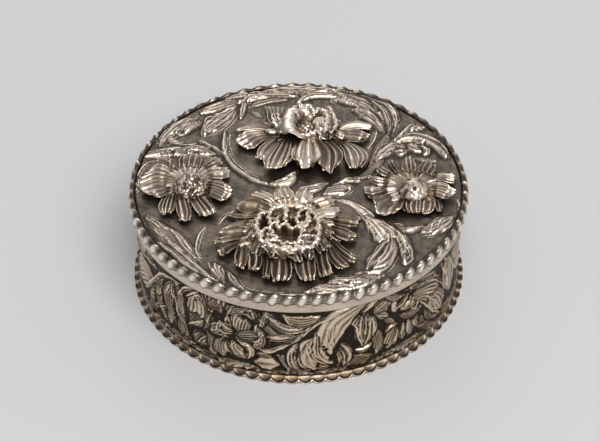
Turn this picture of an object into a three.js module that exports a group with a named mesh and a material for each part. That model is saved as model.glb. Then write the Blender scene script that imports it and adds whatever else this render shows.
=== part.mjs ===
// A round silver box with a lift-off lid, in millimetres, +Z up, origin at the centre of the underside.
// The box is sheet metal: a base plate, an embossed wall, a plain collar inside it that guides the lid,
// and fluted borders soldered round the foot and the lid. Leaves are chased out of the wall and of the
// lid's plate, and four high flowers stand on the lid.
import * as THREE from "three";

// Driving dimensions
const borderRadius = 45; // over the tips of the scallops, on the lid and at the foot
const wallInner = 42;
const wallGround = 42.7; // outside of the wall between its leaves
const wallRelief = 1.3; // how far the highest leaf stands out of it
const wallTop = 23.8;
const jointGap = 0.3; // left between sheets that are soldered or slide on each other
const baseThickness = 1.0;
const collarThickness = 0.7;
const collarRise = 3.6; // how far the collar stands above the wall, inside the lid
const bandOuter = 44;
const bandBottom = wallTop + jointGap;
const plateBottom = 28.1;
const plateThickness = 0.8;
const ground = plateBottom + plateThickness; // the lid's flat ground, on which the flowers sit
const seat = 0.05; // hairline under a piece that sits on the ground
const lidScallops = 58;
const footScallops = 64;
const scallopDepth = 0.55; // how far a cusp lies inside the tips
const ringSteps = 96;

// Materials
function silver(color, roughness) {
  return new THREE.MeshStandardMaterial({ color, roughness, metalness: 1 });
}
const brightSilver = silver(0xcfc4b6, 0.3);
const darkSilver = silver(0x6f6861, 0.45);
const plainSilver = silver(0xb5ab9f, 0.35);

// A closed ring whose cross-section changes round the axis: sectionAt(angle) gives points [radius, height],
// counter-clockwise when the radius runs to the right and the height up.
function loftedRing(sectionAt, steps) {
  const sections = [];
  for (let i = 0; i < steps; i++) sections.push(sectionAt((i / steps) * 2 * Math.PI));
  const corners = sections[0].length;
  const position = [];
  sections.forEach((section, i) => {
    const angle = (i / steps) * 2 * Math.PI;
    for (const [radius, height] of section) {
      position.push(radius * Math.cos(angle), radius * Math.sin(angle), height);
    }
  });
  const index = [];
  for (let i = 0; i < steps; i++) {
    for (let j = 0; j < corners; j++) {
      const here = i * corners + j;
      const up = i * corners + ((j + 1) % corners);
      const next = ((i + 1) % steps) * corners + j;
      const nextUp = ((i + 1) % steps) * corners + ((j + 1) % corners);
      index.push(here, next, nextUp, here, nextUp, up);
    }
  }
  const geometry = new THREE.BufferGeometry();
  geometry.setAttribute("position", new THREE.Float32BufferAttribute(position, 3));
  geometry.setIndex(index);
  geometry.computeVertexNormals();
  return geometry;
}

function hoop(inner, outer, bottom, top) {
  const section = [[inner, bottom], [outer, bottom], [outer, top], [inner, top]];
  return loftedRing(() => section, ringSteps);
}

// A solid turned about the axis from a profile that starts and ends on it, bottom first.
function turned(profile, steps) {
  const points = profile.map(([radius, height]) => new THREE.Vector2(radius, height));
  return new THREE.LatheGeometry(points, steps).rotateX(Math.PI / 2);
}

function disc(radius, bottom, top, steps) {
  return turned([[0, bottom], [radius, bottom], [radius, top], [0, top]], steps);
}

// How far round its scallop an angle lies: 0 on a cusp, 1 at the crown of the lobe.
function lobe(angle, count) {
  return Math.abs(Math.sin((angle * count) / 2));
}

// Thin fluted border: each scallop is a small dished lobe, and the ridges between them stand up.
const stepsPerScallop = 4;

// The lid's border drapes over the edge of the plate, down to this height at its lip.
const lipHeight = 27.5;

function lidBorder() {
  const ridge = 0.5;
  const plateEdge = bandOuter + 0.2;
  return loftedRing((angle) => {
    const crown = lobe(angle, lidScallops);
    const tip = borderRadius - scallopDepth * (1 - crown);
    return [
      [43, ground + seat],
      [plateEdge, ground + seat],
      [plateEdge, lipHeight + 0.1],
      [tip, lipHeight],
      [tip - 0.05, lipHeight + 0.6],
      [44.1, ground + 0.1 + ridge * (1 - crown)],
      [43.5, ground + 0.75],
      [43, ground + 0.6],
    ];
  }, lidScallops * stepsPerScallop);
}

function footBorder() {
  const ridge = 0.5;
  return loftedRing((angle) => {
    const crown = lobe(angle, footScallops);
    const tip = borderRadius - scallopDepth * (1 - crown);
    return [
      [wallInner, 0],
      [44, 0],
      [tip, 0.1],
      [tip - 0.1, 0.7],
      [44, 0.55 + ridge * (1 - crown)],
      [43.4, 1.1],
      [wallInner, baseThickness - 0.1],
    ];
  }, footScallops * stepsPerScallop);
}

// Corolla of a flower: a ring of fluted petals round a hole, with the petals' free tips turned down.
function corolla({ hole, reach, petals, notch, rise, crest, tip, turn = 0, steps }) {
  return loftedRing((angle) => {
    const petal = Math.abs(Math.sin((petals * (angle - turn)) / 2));
    const outer = reach(angle) * (1 - notch * (1 - Math.sqrt(petal)));
    const at = (share) => hole + (outer - hole) * share;
    const flute = 0.35 * Math.cos(petals * 4 * (angle - turn));
    return [
      [hole, seat],
      [at(0.94), seat],
      [outer, tip * 0.4],
      [at(0.97), tip + flute],
      [at(0.7), crest + flute],
      [at(0.35), rise + flute * 0.5],
      [hole, rise * 0.8],
    ];
  }, steps);
}

// Seed boss: a low dome with an upright foot.
function dome(radius, height) {
  const profile = [[0, seat], [radius, seat]];
  const arcs = 5;
  for (let i = 0; i < arcs; i++) {
    const angle = (i / arcs) * (Math.PI / 2);
    profile.push([radius * Math.cos(angle), height * (0.3 + 0.7 * Math.sin(angle))]);
  }
  profile.push([0, height]);
  return turned(profile, 20);
}

// Upright frill, ragged on top, round the heart of a flower.
function frill({ inner, outer, height, waves, depth, steps }) {
  return loftedRing((angle) => {
    const top = height - depth * (0.5 - 0.5 * Math.cos(waves * angle));
    const flare = 0.5 * Math.sin(waves * 0.5 * angle) ** 2;
    return [
      [inner + 0.5, seat],
      [outer - 0.5, seat],
      [outer + flare, top],
      [outer - 0.9 + flare, top],
      [inner + 0.6, height * 0.4],
    ];
  }, steps);
}

const box = new THREE.Group();
const lid = new THREE.Group();
box.add(lid);

function add(group, name, geometry, material, x = 0, y = 0, z = 0) {
  const mesh = new THREE.Mesh(geometry, material);
  mesh.name = name;
  mesh.position.set(x, y, z);
  group.add(mesh);
}

const sideFlowers = [
  { name: "left", x: -28.6, y: -3.6, radius: 13.2, petals: 8, boss: 4.2, turn: 0.2 },
  { name: "right", x: 29.7, y: -3.6, radius: 12.2, petals: 7, boss: 4.3, turn: 0.5 },
];
const front = { x: -2.6, y: -21.9, radius: 18.2, frillInner: 6.1, frillOuter: 9 };
const back = { x: 2.1, y: 20.6, side: 18.6, down: 19.6, up: 8.6, cup: 5.2 };

// The back flower is seen from its side, so its petals fan out towards the front, below a round cup.
function backReach(angle) {
  const across = Math.cos(angle) ** 2;
  const along = Math.sin(angle) < 0 ? back.down : back.up;
  return back.side * across + along * (1 - across);
}

// Chased leaves. Each swells up along a run of points: on the lid [x, y] in millimetres, and on the
// wall [degrees round from the front towards the right, height].
const lidLeaves = [
  { half: 2.2, rise: 1.1, line: [[26, 23], [26, 29], [22, 35.6], [15, 39.4], [6, 40.4], [-4, 40], [-13, 38]] },
  { half: 2.4, rise: 1.4, line: [[-16, 36], [-24, 32], [-31, 26.8], [-36.6, 19]] },
  { half: 2.0, rise: 1.6, line: [[-27.6, 25.6], [-31.6, 22]] },
  { half: 2.7, rise: 1.7, line: [[-17.6, 32.4], [-21.6, 27.6], [-25, 22]] },
  { half: 2.0, rise: 1.4, line: [[-21, 13], [-28, 13.8], [-35, 13], [-41, 11.6]] },
  { half: 1.4, rise: 0.9, line: [[-20.2, 22], [-20, 14], [-17.4, 7.6]] },
  { half: 2.4, rise: 1.5, line: [[24.6, 22], [23.6, 29], [20.6, 35]] },
  { half: 2.2, rise: 1.2, line: [[20, 9], [22, 14], [25, 19.4]] },
  { half: 1.8, rise: 1.4, line: [[27, 19.6], [29.6, 22.6], [33.6, 24]] },
  { half: 2.4, rise: 1.7, line: [[27, 18], [32, 19.4], [36.4, 17], [39.4, 12]] },
  { half: 2.2, rise: 1.6, line: [[23, 12.6], [27, 14.6], [31, 14.8], [34.4, 13.4]] },
  { half: 3.0, rise: 1.2, line: [[-38.6, -14.4], [-34, -20], [-29.6, -26], [-26, -31]] },
  { half: 2.4, rise: 1.3, line: [[-35, -24], [-29, -30], [-22, -36.6]] },
  { half: 2.4, rise: 1.1, line: [[-20.6, -31.6], [-18.6, -37.4]] },
  { half: 2.2, rise: 1.2, line: [[14.6, -10.6], [19, -15.4]] },
  { half: 3.4, rise: 1.5, line: [[19.6, -16.6], [22.4, -22], [21, -28.6], [17.6, -33.4]] },
  { half: 2.2, rise: 1.7, line: [[25, -20], [26.8, -25], [27, -30.4]] },
  { half: 2.6, rise: 1.5, line: [[32, -19.2], [36, -17.2], [38.6, -14.4]] },
  { half: 2.0, rise: 1.4, line: [[7, -39], [12, -38.2], [17, -38]] },
];
const wallLeaves = [
  { half: 2.6, rise: 1.3, line: [[-21.6, 14], [-19, 19]] },
  { half: 1.8, rise: 1.1, line: [[-21, 12.6], [-15, 14]] },
  { half: 2.2, rise: 1.2, line: [[-25, 12.8], [-30, 13.6]] },
  { half: 2.7, rise: 1.3, line: [[-25, 9.6], [-28.4, 5.6]] },
  { half: 2.6, rise: 1.3, line: [[-21.6, 9.6], [-18, 6.6]] },
  { half: 2.4, rise: 1.0, line: [[-28, 22], [-27.4, 18.4]] },
  { half: 2.8, rise: 1.3, line: [[-36, 11.6], [-37.6, 18.6]] },
  { half: 1.8, rise: 1.0, line: [[-33.4, 8], [-38.4, 5.6]] },
  { half: 1.4, rise: 1.0, line: [[-41, 11], [-48, 14], [-48.6, 19], [-57, 18.6], [-63, 15]] },
  { half: 2.0, rise: 1.1, line: [[-48, 6.8], [-56, 8.6]] },
  { half: 3.6, rise: 1.3, line: [[-61, 10.6], [-68, 13.6], [-74, 12]] },
  { half: 2.4, rise: 1.2, line: [[-2, 15], [-8, 17.6], [-12, 21.6]] },
  { half: 2.2, rise: 1.2, line: [[2, 19.2], [-4, 20.8]] },
  { half: 1.4, rise: 1.2, line: [[-13, 9.6], [-6, 9.4], [1, 14], [9, 18.6]] },
  { half: 3.0, rise: 1.3, line: [[18, 21.4], [11.4, 18], [9.6, 12], [8, 7]] },
  { half: 2.6, rise: 1.2, line: [[3.6, 12], [0.6, 7], [3.6, 4.6]] },
  { half: 1.6, rise: 1.2, line: [[15.6, 9.6], [17.6, 6.4], [16.4, 3.6]] },
  { half: 2.7, rise: 1.3, line: [[23.4, 20], [22.8, 14], [22.8, 10.4]] },
  { half: 2.2, rise: 1.3, line: [[28.6, 19.4], [31, 16]] },
  { half: 1.6, rise: 1.3, line: [[34, 19], [36, 16.4], [42, 16.6]] },
  { half: 3.0, rise: 1.3, line: [[45, 17], [54, 16.4], [59, 12.6]] },
  { half: 2.8, rise: 1.2, line: [[32.6, 7.8], [36.4, 7.4]] },
  { half: 2.4, rise: 1.2, line: [[40.4, 9], [44.6, 8]] },
  { half: 2.6, rise: 1.2, line: [[50, 11.6], [57, 8], [61, 4.6]] },
  { half: 3.2, rise: 1.2, line: [[63, 20], [67, 13], [73, 8]] },
];

// The side of the wall that isn't seen repeats the leaves of the front, turned by these angles.
const repeats = { turns: [130, 230], widest: 50 };

// How high the leaves stand at a point.
function swell(leaves, x, y) {
  let height = 0;
  for (const { line, half, rise } of leaves) {
    for (let i = 1; i < line.length; i++) {
      const [ax, ay] = line[i - 1];
      const [bx, by] = line[i];
      const run = (bx - ax) ** 2 + (by - ay) ** 2;
      const share = Math.min(Math.max(((x - ax) * (bx - ax) + (y - ay) * (by - ay)) / run, 0), 1);
      const gap = Math.hypot(x - ax - share * (bx - ax), y - ay - share * (by - ay)) / half;
      if (gap < 1) height = Math.max(height, rise * Math.sqrt(1 - gap ** 2));
    }
  }
  return height;
}

// How far a point of the lid lies outside the petals.
function clearOfFlowers(x, y) {
  const round = [...sideFlowers, front].map((flower) => ({ ...flower, reach: () => flower.radius }));
  const gaps = [...round, { ...back, reach: backReach }].map((flower) => {
    const away = Math.hypot(x - flower.x, y - flower.y);
    return away - flower.reach(Math.atan2(y - flower.y, x - flower.x));
  });
  return Math.min(...gaps);
}

// Relief of the lid's plate, which runs out before it gets under the petals.
const petalMargin = 0.9;
function plateRelief(x, y) {
  const slope = 0.8;
  return Math.min(swell(lidLeaves, x, y), slope * Math.max(clearOfFlowers(x, y) - petalMargin, 0));
}

const plateRadius = bandOuter - 0.3;
const plateRings = { outer: 42.8, inner: 9, count: 17 };

function lidPlate() {
  const { outer, inner, count } = plateRings;
  const profile = [[0, plateBottom], [plateRadius, plateBottom], [plateRadius, ground]];
  for (let i = 0; i <= count; i++) profile.push([outer + ((inner - outer) * i) / count, ground]);
  profile.push([0, ground]);
  const geometry = turned(profile, ringSteps);
  const position = geometry.getAttribute("position");
  for (let i = 0; i < position.count; i++) {
    const [x, y] = [position.getX(i), position.getY(i)];
    const onTop = position.getZ(i) > ground - seat;
    if (onTop && Math.hypot(x, y) < outer - seat) position.setZ(i, ground + plateRelief(x, y));
  }
  geometry.computeVertexNormals();
  return geometry;
}

const wallSteps = 132;
const wallRows = 11;

function bodyWall() {
  const arc = (degrees) => (degrees * Math.PI * wallGround) / 180;
  const onArc = ({ line, ...leaf }, turn) =>
    ({ ...leaf, line: line.map(([degrees, height]) => [arc(degrees + turn), height]) });
  const leaves = wallLeaves.map((leaf) => onArc(leaf, 0));
  const repeated = wallLeaves.filter(({ line }) =>
    line.every(([degrees]) => Math.abs(degrees) < repeats.widest));
  for (const turn of repeats.turns) leaves.push(...repeated.map((leaf) => onArc(leaf, turn)));
  const bottom = baseThickness + 0.2;
  return loftedRing((angle) => {
    const round = ((((angle * 180) / Math.PI + 270) % 360) + 360) % 360 - 180;
    const section = [[wallInner, bottom]];
    for (let row = 0; row <= wallRows; row++) {
      const height = bottom + ((wallTop - bottom) * row) / wallRows;
      const up = Math.max(swell(leaves, arc(round), height), swell(leaves, arc(round + 360), height));
      const open = row > 0 && row < wallRows;
      section.push([wallGround + (open ? Math.min(up, wallRelief) : 0), height]);
    }
    section.push([wallInner, wallTop]);
    return section;
  }, wallSteps);
}

// Box
const collarOuter = wallInner - 0.2;
add(box, "base_plate", disc(wallInner - jointGap, 0, baseThickness, ringSteps), plainSilver);
add(box, "foot_border", footBorder(), brightSilver);
add(box, "body_wall", bodyWall(), darkSilver);
add(box, "inner_collar",
  hoop(collarOuter - collarThickness, collarOuter, baseThickness + 0.2, wallTop + collarRise),
  plainSilver);

// Lid
add(lid, "lid_plate", lidPlate(), darkSilver);
add(lid, "lid_band", hoop(wallInner + 0.2, bandOuter, bandBottom, plateBottom - 0.1), plainSilver);
add(lid, "lid_border", lidBorder(), brightSilver);

// Side flowers: open blossoms round a seed boss
for (const { name, x, y, radius, petals, boss, turn } of sideFlowers) {
  const shape = { petals, notch: 0.2, rise: 1.1, crest: 2.4, tip: 1.5, turn, steps: 64 };
  add(lid, `flower_${name}_petals`,
    corolla({ hole: boss + 0.3, reach: () => radius, ...shape }), brightSilver, x, y, ground);
  add(lid, `flower_${name}_boss`, dome(boss, 4.4), brightSilver, x, y, ground);
}

// Front flower: a wide ring of petals round a ragged frill with an open heart
add(lid, "flower_front_petals",
  corolla({ hole: front.frillOuter + 0.3, reach: () => front.radius, petals: 12, notch: 0.16,
    rise: 2.2, crest: 2.2, tip: 1.2, steps: 96 }), brightSilver, front.x, front.y, ground);
add(lid, "flower_front_frill",
  frill({ inner: front.frillInner, outer: front.frillOuter - 0.6, height: 4.6, waves: 12,
    depth: 1.0, steps: 72 }), brightSilver, front.x, front.y, ground);
add(lid, "flower_front_heart", dome(front.frillInner, 0.9), darkSilver, front.x, front.y, ground);

// Back flower: low round its cup, with the petals' crests half-way out
add(lid, "flower_back_petals",
  corolla({ hole: back.cup + 0.3, reach: backReach, petals: 9, notch: 0.18, rise: 1.7, crest: 2.8,
    tip: 1.5, turn: 0.35, steps: 90 }), brightSilver, back.x, back.y, ground);
add(lid, "flower_back_cup",
  frill({ inner: 3.1, outer: back.cup - 0.6, height: 5.6, waves: 5, depth: 0.7, steps: 60 }),
  brightSilver, back.x, back.y, ground);
add(lid, "flower_back_seeds", dome(3.3, 2.2), darkSilver, back.x, back.y, ground);

export default box;
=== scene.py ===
import math
import bmesh
import bpy
import numpy as np
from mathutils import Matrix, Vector


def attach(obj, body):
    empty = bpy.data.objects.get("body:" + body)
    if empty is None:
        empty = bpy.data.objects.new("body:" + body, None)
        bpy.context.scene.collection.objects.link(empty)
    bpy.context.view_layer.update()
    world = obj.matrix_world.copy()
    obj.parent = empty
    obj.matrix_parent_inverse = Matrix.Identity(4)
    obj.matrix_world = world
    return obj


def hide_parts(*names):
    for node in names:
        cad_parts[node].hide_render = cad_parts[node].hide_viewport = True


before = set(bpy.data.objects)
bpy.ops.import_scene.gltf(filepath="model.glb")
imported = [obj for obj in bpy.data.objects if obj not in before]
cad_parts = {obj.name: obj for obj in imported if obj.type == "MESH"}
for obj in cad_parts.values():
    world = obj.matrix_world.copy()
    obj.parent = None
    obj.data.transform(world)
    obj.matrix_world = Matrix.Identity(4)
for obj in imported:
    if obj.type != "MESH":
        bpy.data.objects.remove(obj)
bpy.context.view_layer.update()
mm = 0.001  # everything below is written in millimetres and scaled once, when a mesh is finished
groundLevel = 28.9  # the lid's face
beadSpacing = 0.8  # of the beads milled along the raised lines
print("frame loaded")


# Curves and fields

def smoothLine(points, steps=8):
    # an even curve through the given points
    p = np.array(points, float)
    p = np.vstack([2 * p[0] - p[1], p, 2 * p[-1] - p[-2]])
    s = np.linspace(0, 1, steps, endpoint=False)[:, None]
    runs = []
    for i in range(1, len(p) - 2):
        a, b, c, d = p[i - 1:i + 3]
        runs.append(b + 0.5 * s * (c - a) + 0.5 * s ** 2 * (2 * a - 5 * b + 4 * c - d)
                    + 0.5 * s ** 3 * (3 * b - a - 3 * c + d))
    return np.vstack(runs + [p[-2:-1]])


def smoothSteps(values, t):
    # eased values spread evenly over t from 0 to 1
    v = np.array(values, float)
    if len(v) == 1:
        return np.full_like(t, v[0])
    f = np.clip(t, 0, 1) * (len(v) - 1)
    i = np.minimum(f.astype(int), len(v) - 2)
    e = f - i
    e = e * e * (3 - 2 * e)
    return v[i] * (1 - e) + v[i + 1] * e


def alongLine(line, x, y):
    # for each point: share of the line's length, signed distance, length in mm, distance square to the line
    a = line[:-1]
    d = line[1:] - a
    run = np.maximum(np.hypot(d[:, 0], d[:, 1]), 1e-9)
    start = np.concatenate([[0], np.cumsum(run)])
    rx = x[:, None] - a[None, :, 0]
    ry = y[:, None] - a[None, :, 1]
    u = np.clip((rx * d[:, 0] + ry * d[:, 1]) / run ** 2, 0, 1)
    ox = rx - u * d[:, 0]
    oy = ry - u * d[:, 1]
    gap = np.hypot(ox, oy)
    k = np.argmin(gap, axis=1)
    row = np.arange(len(x))
    side = np.where(d[k, 0] * oy[row, k] - d[k, 1] * ox[row, k] < 0, -1.0, 1.0)
    length = start[k] + u[row, k] * run[k]
    square = (d[k, 0] * ry[row, k] - d[k, 1] * rx[row, k]) / run[k]
    return length / start[-1], side * gap[row, k], length, square


def nearLine(field, line, reach):
    # the cells of a field that lie within reach of a line's box
    x, y = field["x"], field["y"]
    near = ((x > line[:, 0].min() - reach) & (x < line[:, 0].max() + reach)
            & (y > line[:, 1].min() - reach) & (y < line[:, 1].max() + reach))
    return np.nonzero(near)


def carvePad(field, pad, trench=0.45, sharp=1.3):
    # raises the body of one leaf, strokes it lengthwise and cuts the metal down close round it
    shade, strokes, rise, half, points = pad
    strokes = strokes or max(2, round(2.2 * max(half)))
    line = smoothLine(points)
    spot = nearLine(field, line, max(half) * 1.1 + trench)
    if len(spot[0]) == 0:
        return
    t, side, length, square = alongLine(line, field["x"][spot], field["y"][spot])
    point = np.clip(np.minimum(t, 1 - t) / 0.2, 0, 1) ** 0.7 * 0.6 + 0.4
    wide = np.maximum(smoothSteps(half, t) * point, 0.05)
    sway = 0.05 * np.sin(length * 0.7 + rise[0] * 9)
    lane = np.clip(square / wide + sway, -1, 1)
    sharp = sharp * min(1, 0.4 * strokes / max(half)) ** 1.5
    stroke = np.abs(np.sin(math.pi * strokes * (lane + 1) / 2)) ** sharp
    s = side / wide * (1 + 0.16 * (1 - stroke))
    inside = np.abs(s) < 1
    rim = np.clip((trench + wide - np.abs(side)) / trench, 0, 1)
    body = np.clip(1 - np.abs(s) ** 4, 0, 1) ** 0.5
    level = 0.7 * smoothSteps(rise, t)
    old = field["h"][spot]
    up = level * body * (0.7 + 0.3 * stroke)
    field["h"][spot] = np.where(inside, np.maximum(np.minimum(old, level * 0.6), up), old * (1 - 0.8 * rim))
    faint = 0.75 + 0.25 * np.sin(5 * lane + 0.6 * length + rise[0])
    # painted shade: one side of a leaf and its root are painted darker, as if turned from the light
    paintedSideShade = 0.3 * np.clip(lane * math.cos(points[0][0]) - 0.1, 0, 1) + 0.25 * (1 - t) ** 3
    tone = 0.7 * shade + paintedSideShade + (1 - stroke) * body * faint + 0.8 * (1 - body) ** 2
    field["tone"][spot] = np.where(inside, np.clip(tone, 0, 1), np.maximum(field["tone"][spot], rim * 0.9))


def carveRidge(field, ridge, beads=0.0):
    # one raised line laid over what is there, bright on its crest, with a dark groove on either side
    half, rise, points = ridge
    line = smoothLine(points)
    half = 0.78 * half
    spot = nearLine(field, line, half * 2.8)
    if len(spot[0]) == 0:
        return
    t, side, length, _ = alongLine(line, field["x"][spot], field["y"][spot])
    taper = np.clip(np.minimum(t, 1 - t) / 0.3, 0, 1) ** 0.7 * 0.8 + 0.2
    taper = taper * (1 + 0.15 * np.sin(length * 1.7 + points[0][0]))
    s = np.abs(side) / (half * taper)
    crest = np.clip(1 - s ** 2, 0, 1)
    flank = np.exp(-((s - 1.6) / 0.5) ** 2)
    mill = 1.0 - beads * (0.5 + 0.5 * np.cos(2 * math.pi * length / beadSpacing))
    field["h"][spot] += rise * (0.8 * crest * mill - 0.25 * flank)
    worn = np.clip(crest * 1.6, 0, 1) * (0.75 + 0.25 * np.clip(rise * 2, 0, 1))
    field["tone"][spot] = np.clip(field["tone"][spot] * (1 - worn) + 0.15 * flank, 0, 1)


def besideRidge(ridge, gap):
    # a thinner ridge that keeps its distance from another
    half, rise, points = ridge
    p = np.array(points, float)
    along = np.gradient(p, axis=0)
    along = along / np.maximum(np.hypot(along[:, 0], along[:, 1]), 1e-6)[:, None]
    share = np.sin(np.linspace(0.15, 0.85, len(p)) * math.pi)[:, None]
    p = p + gap * share * np.stack([-along[:, 1], along[:, 0]], 1)
    return 0.5 * half, 0.45 * rise, [tuple(q) for q in p]


def carvePit(field, x, y, size):
    # a small dark hole
    away = np.hypot(field["x"] - x, field["y"] - y) / size
    near = np.clip(1.2 - away, 0, 1)
    field["h"] -= 0.7 * near
    field["tone"] = np.maximum(field["tone"], np.clip(near * 1.6, 0, 1))


def softened(h, spread, wrap=False):
    # the field blurred over a few cells, by the Fourier way
    pad = 0 if wrap else 24
    g = np.pad(h, ((pad, pad), (24, 24)), mode="edge")
    fx = np.fft.fftfreq(g.shape[0])[:, None]
    fy = np.fft.fftfreq(g.shape[1])[None, :]
    g = np.fft.ifft2(np.fft.fft2(g) * np.exp(-2 * (math.pi * spread) ** 2 * (fx ** 2 + fy ** 2))).real
    return g[pad:g.shape[0] - pad, 24:-24] if pad else g[:, 24:-24]


def hollowOf(h, spread, strength, wrap=False):
    # above 0 down in the grooves, below 0 on the crests
    return np.clip((softened(h, spread, wrap) - h) * strength, -0.5, 0.5)


def mottle(x, y, seed, sizes):
    # smooth unevenness from crossed waves, about -1 to 1
    rng = np.random.default_rng(seed)
    total = np.zeros_like(x)
    for size in sizes:
        for _ in range(5):
            turn = rng.uniform(0, 2 * math.pi)
            shift = rng.uniform(0, 2 * math.pi)
            total += np.sin((x * math.cos(turn) + y * math.sin(turn)) * 2 * math.pi / size + shift)
    return total / math.sqrt(2.5 * len(sizes)) / 1.6


# Meshes

def finishMesh(bm, name, body, replaced, material, thickness=None):
    bmesh.ops.scale(bm, vec=(mm, mm, mm), verts=bm.verts)
    mesh = bpy.data.meshes.new(name)
    bm.to_mesh(mesh)
    bm.free()
    mesh.polygons.foreach_set("use_smooth", [True] * len(mesh.polygons))
    piece = bpy.data.objects.new(name, mesh)
    bpy.context.scene.collection.objects.link(piece)
    mesh.materials.append(material)
    if thickness:
        sheet = piece.modifiers.new("thickness", "SOLIDIFY")
        sheet.thickness = thickness * mm
        sheet.offset = -1
        sheet.use_even_offset = False
    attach(piece, body)
    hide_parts(*replaced)
    print("made", name, len(mesh.polygons), "faces")
    return piece


def rolledRing(profile, steps, shift=0.0):
    # a flat strip bent into a ring: its rows follow a closed profile of (radius, height) points
    bm = bmesh.new()
    rows = len(profile)
    made = bmesh.ops.create_grid(bm, x_segments=steps, y_segments=rows, size=1)["verts"]
    for v in made:
        turn = ((v.co.x + 1) / 2 + shift / steps) * 2 * math.pi
        r, z = profile[int(round((v.co.y + 1) / 2 * rows)) % rows]
        v.co = (-r * math.sin(turn), r * math.cos(turn), z)
    bmesh.ops.remove_doubles(bm, verts=bm.verts, dist=0.002)
    bmesh.ops.recalc_face_normals(bm, faces=bm.faces)
    return bm


# Materials

def makeTarnishShadeGroup():
    group = bpy.data.node_groups.new("tarnishAndPaintedShade", "ShaderNodeTree")
    face = group.interface
    for label, value in (("Hollow", 0.0), ("Shade", 1.0), ("Tarnish", 1.0), ("Polish", 0.2), ("Gilt", 0.0)):
        face.new_socket(name=label, in_out="INPUT", socket_type="NodeSocketFloat").default_value = value
    for label, value in (("Silver", (0.92, 0.81, 0.68, 1)), ("Worn", (0.33, 0.26, 0.2, 1)),
                         ("Oxide", (0.085, 0.072, 0.06, 1)), ("Gold", (0.42, 0.25, 0.1, 1))):
        face.new_socket(name=label, in_out="INPUT", socket_type="NodeSocketColor").default_value = value
    face.new_socket(name="Colour", in_out="OUTPUT", socket_type="NodeSocketColor")
    face.new_socket(name="Roughness", in_out="OUTPUT", socket_type="NodeSocketFloat")
    face.new_socket(name="Height", in_out="OUTPUT", socket_type="NodeSocketFloat")
    n, link = group.nodes, group.links
    into = n.new("NodeGroupInput")
    out = n.new("NodeGroupOutput")
    where = n.new("ShaderNodeTexCoord")

    def noise(scale, detail):
        node = n.new("ShaderNodeTexNoise")
        node.inputs["Scale"].default_value = scale
        node.inputs["Detail"].default_value = detail
        link.new(where.outputs["Object"], node.inputs["Vector"])
        return node.outputs["Fac"]

    def maths(kind, a, b, clamp=False):
        node = n.new("ShaderNodeMath")
        node.operation = kind
        node.use_clamp = clamp
        for socket, value in zip(node.inputs, (a, b)):
            if isinstance(value, (int, float)):
                socket.default_value = value
            else:
                link.new(value, socket)
        return node.outputs[0]

    def blend(factor, a, b):
        node = n.new("ShaderNodeMix")
        node.data_type = "RGBA"
        link.new(factor, node.inputs["Factor"])
        link.new(a, node.inputs["A"])
        link.new(b, node.inputs["B"])
        return node.outputs["Result"]

    def ramp(value, low, high):
        node = n.new("ShaderNodeMapRange")
        node.inputs["From Min"].default_value = low
        node.inputs["From Max"].default_value = high
        link.new(value, node.inputs["Value"])
        return node.outputs["Result"]

    patches = noise(130.0, 3.0)
    grit = noise(1500.0, 4.0)
    # painted shade: the less open a spot is by ambient occlusion, the darker its colour, added to the
    # tarnish of the hollows
    occlusionShade = maths("SUBTRACT", 1.0, into.outputs["Shade"], True)
    tarnishPlusShade = maths("MULTIPLY", into.outputs["Hollow"], into.outputs["Tarnish"])
    tarnishPlusShade = maths("ADD", tarnishPlusShade, maths("MULTIPLY", occlusionShade, 0.55))
    tarnishPlusShade = maths("ADD", tarnishPlusShade, maths("MULTIPLY", maths("SUBTRACT", patches, 0.5), 0.35))
    tarnishPlusShade = maths("ADD", tarnishPlusShade, maths("MULTIPLY", maths("SUBTRACT", grit, 0.5), 0.3), True)
    gilded = maths("MULTIPLY", into.outputs["Gilt"], ramp(patches, 0.42, 0.6))
    worn = blend(gilded, into.outputs["Worn"], into.outputs["Gold"])
    colour = blend(ramp(tarnishPlusShade, 0.02, 0.5), into.outputs["Silver"], worn)
    colour = blend(ramp(tarnishPlusShade, 0.5, 0.98), colour, into.outputs["Oxide"])
    link.new(colour, out.inputs["Colour"])
    rough = maths("ADD", into.outputs["Polish"], maths("MULTIPLY", tarnishPlusShade, 0.25))
    rough = maths("ADD", rough, maths("MULTIPLY", maths("SUBTRACT", grit, 0.5), 0.16), True)
    link.new(rough, out.inputs["Roughness"])
    link.new(maths("ADD", grit, maths("MULTIPLY", patches, 0.6)), out.inputs["Height"])
    return group


tarnishShadeGroup = makeTarnishShadeGroup()


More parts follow.
